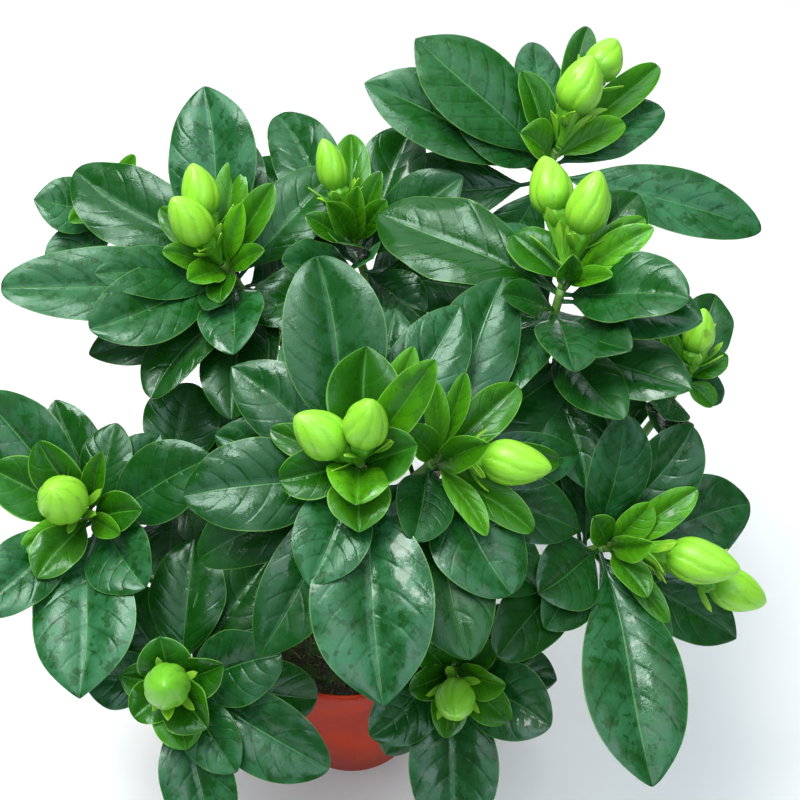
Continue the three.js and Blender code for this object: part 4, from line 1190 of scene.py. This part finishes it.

# By shoot and row, of the leaves that show most: the painted bluish sheen of reflected sky, from plain green 0 to
# bluish 1, and the wetness
leafTones = {
    "01": {0: (0.2, 0), 1: (0.7, 0), 2: (0.5, 0), 3: (0.85, 0), 5: (0.35, 0), 6: (0.5, 0), 8: (0.9, 1), 9: (0.2, 0)},
    "02": {0: (0.5, 0), 2: (0.1, 1), 7: (0.3, 0)},
    "03": {0: (0.55, 0), 1: (0.6, 0), 2: (0.6, 0), 3: (0.9, 0), 4: (0.9, 0), 5: (1.0, 0)},
    "04": {0: (0.0, 0), 2: (0.5, 0), 3: (0.8, 0), 7: (0.3, 1), 8: (0.3, 0), 12: (0.4, 1)},
    "06": {0: (0.3, 0), 1: (0.25, 1), 2: (0.15, 0), 3: (0.9, 1), 4: (0.8, 0), 5: (0.2, 1), 6: (0.6, 0)},
    "07": {0: (0.45, 0), 2: (0.3, 0), 3: (0.6, 1), 4: (0.1, 0)},
    "08": {0: (0.6, 1), 1: (0.8, 0), 2: (1.0, 0), 3: (0.7, 0), 4: (0.25, 0)},
    "09": {0: (0.35, 0), 1: (0.6, 1), 2: (0.7, 0), 3: (0.8, 1), 5: (0.05, 0)},
    "10": {0: (0.45, 1), 1: (0.7, 1), 2: (0.5, 1), 3: (0.05, 0)},
    "11": {0: (0.5, 0), 1: (0.35, 0), 2: (0.35, 1), 3: (0.8, 1), 4: (0.4, 1), 5: (0.5, 1), 7: (0.3, 1)},
    "12": {0: (0.8, 0), 1: (0.8, 0)},
}
# Rows whose blade lies flat, because another leaf of the shoot lies close above
flatLeaves = {"07": (4,)}
# The other leaves: how much painted sheen and how tinted at most, and the share of wet ones. flat: how much fold is
# left
leafChances = {"paintedSheen": 0.6, "tintAndBudShade": 0.22, "wet": 0.3, "flat": 0.1}


def leafyPiece(shoot, kind, nodeName, pieceName, coreFrom, coreTo, makers):
    c = leafChances
    bm = bmesh.new()
    addLayers(bm, "along", "tintAndBudShade", "under", "wet", "paintedSheen")
    chance = random.Random(sum(ord(letter) for letter in nodeName))
    ends = [shoot["at"] - shoot["up"] * coreTo, shoot["at"] - shoot["up"] * coreFrom]
    path = [ends[0].lerp(ends[1], k / 8) for k in range(9)]
    growStem(bm, path, lambda share: layout["coreRadius"], 12, 3, 0.05, 0.15, material=1)
    corners = cornersOf(nodeName)
    tones = leafTones.get(shoot["name"], {}) if kind == "leaf" else {}
    for i, makeLeaf in enumerate(makers):
        leaf = settledLeaf(corners, makeLeaf)
        if leaf is None:
            counts["missed"] += 1
            continue
        counts[kind] += 1
        # painted sheen and wetness: listed for the leaves that show most, drawn for the rest
        paintedSheen, wet = tones.get(i, (chance.uniform(0, c["paintedSheen"]), 1 if chance.random() < c["wet"] else 0))
        tintAndBudShade = youngTones[shoot["name"]][i] if kind == "young" else chance.uniform(0, c["tintAndBudShade"])
        flat = kind == "leaf" and i in flatLeaves.get(shoot["name"], ())
        growBlade(bm, kind, leaf, chance, tintAndBudShade, wet, paintedSheen, folding=c["flat"] if flat else 1)
    slotName = {"leaf": "leaf", "young": "young_leaf"}[kind]
    finishPiece(bm, pieceName, [kind, "shoot"], slotName, nodeName)


makePot()
makeSoil()
makeStems()
print("pot, soil and stems made")
for shoot in shoots:
    name = shoot["name"]
    mature = [lambda turn, row=row: rowLeaf(shoot, row, turn) for row in shoot["leaves"]]
    mature += [lambda turn, fill=fill: whorlLeaf(shoot, fill, turn) for fill in shoot["fills"]]
    young = [lambda turn, row=row: rowLeaf(shoot, row, turn) for row in shoot["young"]]
    core = layout["youngCore"]
    leafyPiece(
        shoot, "leaf", "shoot_" + name, "shootLeaves" + name, core + layout["coreGap"], layout["shootLength"], mature
    )
    leafyPiece(shoot, "young", "young_" + name, "youngLeaves" + name, 0, core, young)
    if shoot["buds"]:
        makeBuds(shoot)
print("leaves made:", counts)

# Floor, light and camera. lights: place, size, power, colour and what they look at
setting = {
    "floorSize": 8, "floorColour": (0.95, 0.955, 0.96, 1), "floorPatches": (0.85, 0.86, 0.88, 1), "patchShare": 0.05,
    "skyColour": (0.9, 0.95, 1.0, 1), "skyStrength": 0.18,
    "lights": {
        "topLight": ((-0.4, 0.1, 1.6), 0.8, 27, (1, 0.99, 0.95), (0, 0, 0.25)),
        "frontLight": ((0.3, -1.1, 1.5), 1.5, 12, (0.72, 0.9, 1), (0, 0, 0.3)),
        "backLight": ((0.25, 1.5, 1.5), 1.8, 14, (0.84, 0.93, 1), (0, 0, 0.3)),
    },
    "fillStrength": 0.6, "fillAngle": 60, "fillTurn": (20, 10, 0),
    "focal": 1230, "photoWidth": 800, "target": (35, 0, 338), "distance": 680,
}

bm = bmesh.new()
bmesh.ops.create_grid(bm, x_segments=1, y_segments=1, size=setting["floorSize"] / 2)
floorMaterial, tree, shader, where = newMaterial("paleFloor", Roughness=0.8)
patches = times(tree, noiseAt(tree, where, 3.0), setting["patchShare"])
floorColour = mixColour(tree, patches, setting["floorColour"], setting["floorPatches"])
tree.links.new(floorColour, shader.inputs["Base Color"])
floor = addObject("floor", meshFrom(bm, "floor"))
floor.data.materials.append(floorMaterial)

world = bpy.data.worlds.new("softSky")
world.use_nodes = True
sky = world.node_tree.nodes["Background"].inputs
sky["Color"].default_value, sky["Strength"].default_value = setting["skyColour"], setting["skyStrength"]
bpy.context.scene.world = world
bpy.context.scene.view_settings.view_transform = "Standard"

for name, (place, size, power, colour, aim) in setting["lights"].items():
    light = bpy.data.lights.new(name, "AREA")
    light.size, light.energy, light.color = size, power, colour
    lamp = addObject(name, light)
    lamp.location = place
    lamp.rotation_euler = (Vector(aim) - Vector(place)).to_track_quat("-Z", "Y").to_euler()

sun = bpy.data.lights.new("evenLight", "SUN")
sun.energy, sun.angle = setting["fillStrength"], math.radians(setting["fillAngle"])
addObject("evenLight", sun).rotation_euler = [math.radians(turn) for turn in setting["fillTurn"]]

camera = bpy.data.cameras.new("camera")
camera.sensor_width = 36
camera.lens = setting["focal"] / setting["photoWidth"] * camera.sensor_width
eye = addObject("camera", camera)
eye.location = (Vector(setting["target"]) + viewOut * setting["distance"]) * mm
eye.rotation_euler = (-viewOut).to_track_quat("-Z", "Y").to_euler()
bpy.context.scene.camera = eye
print("floor, light and camera set")
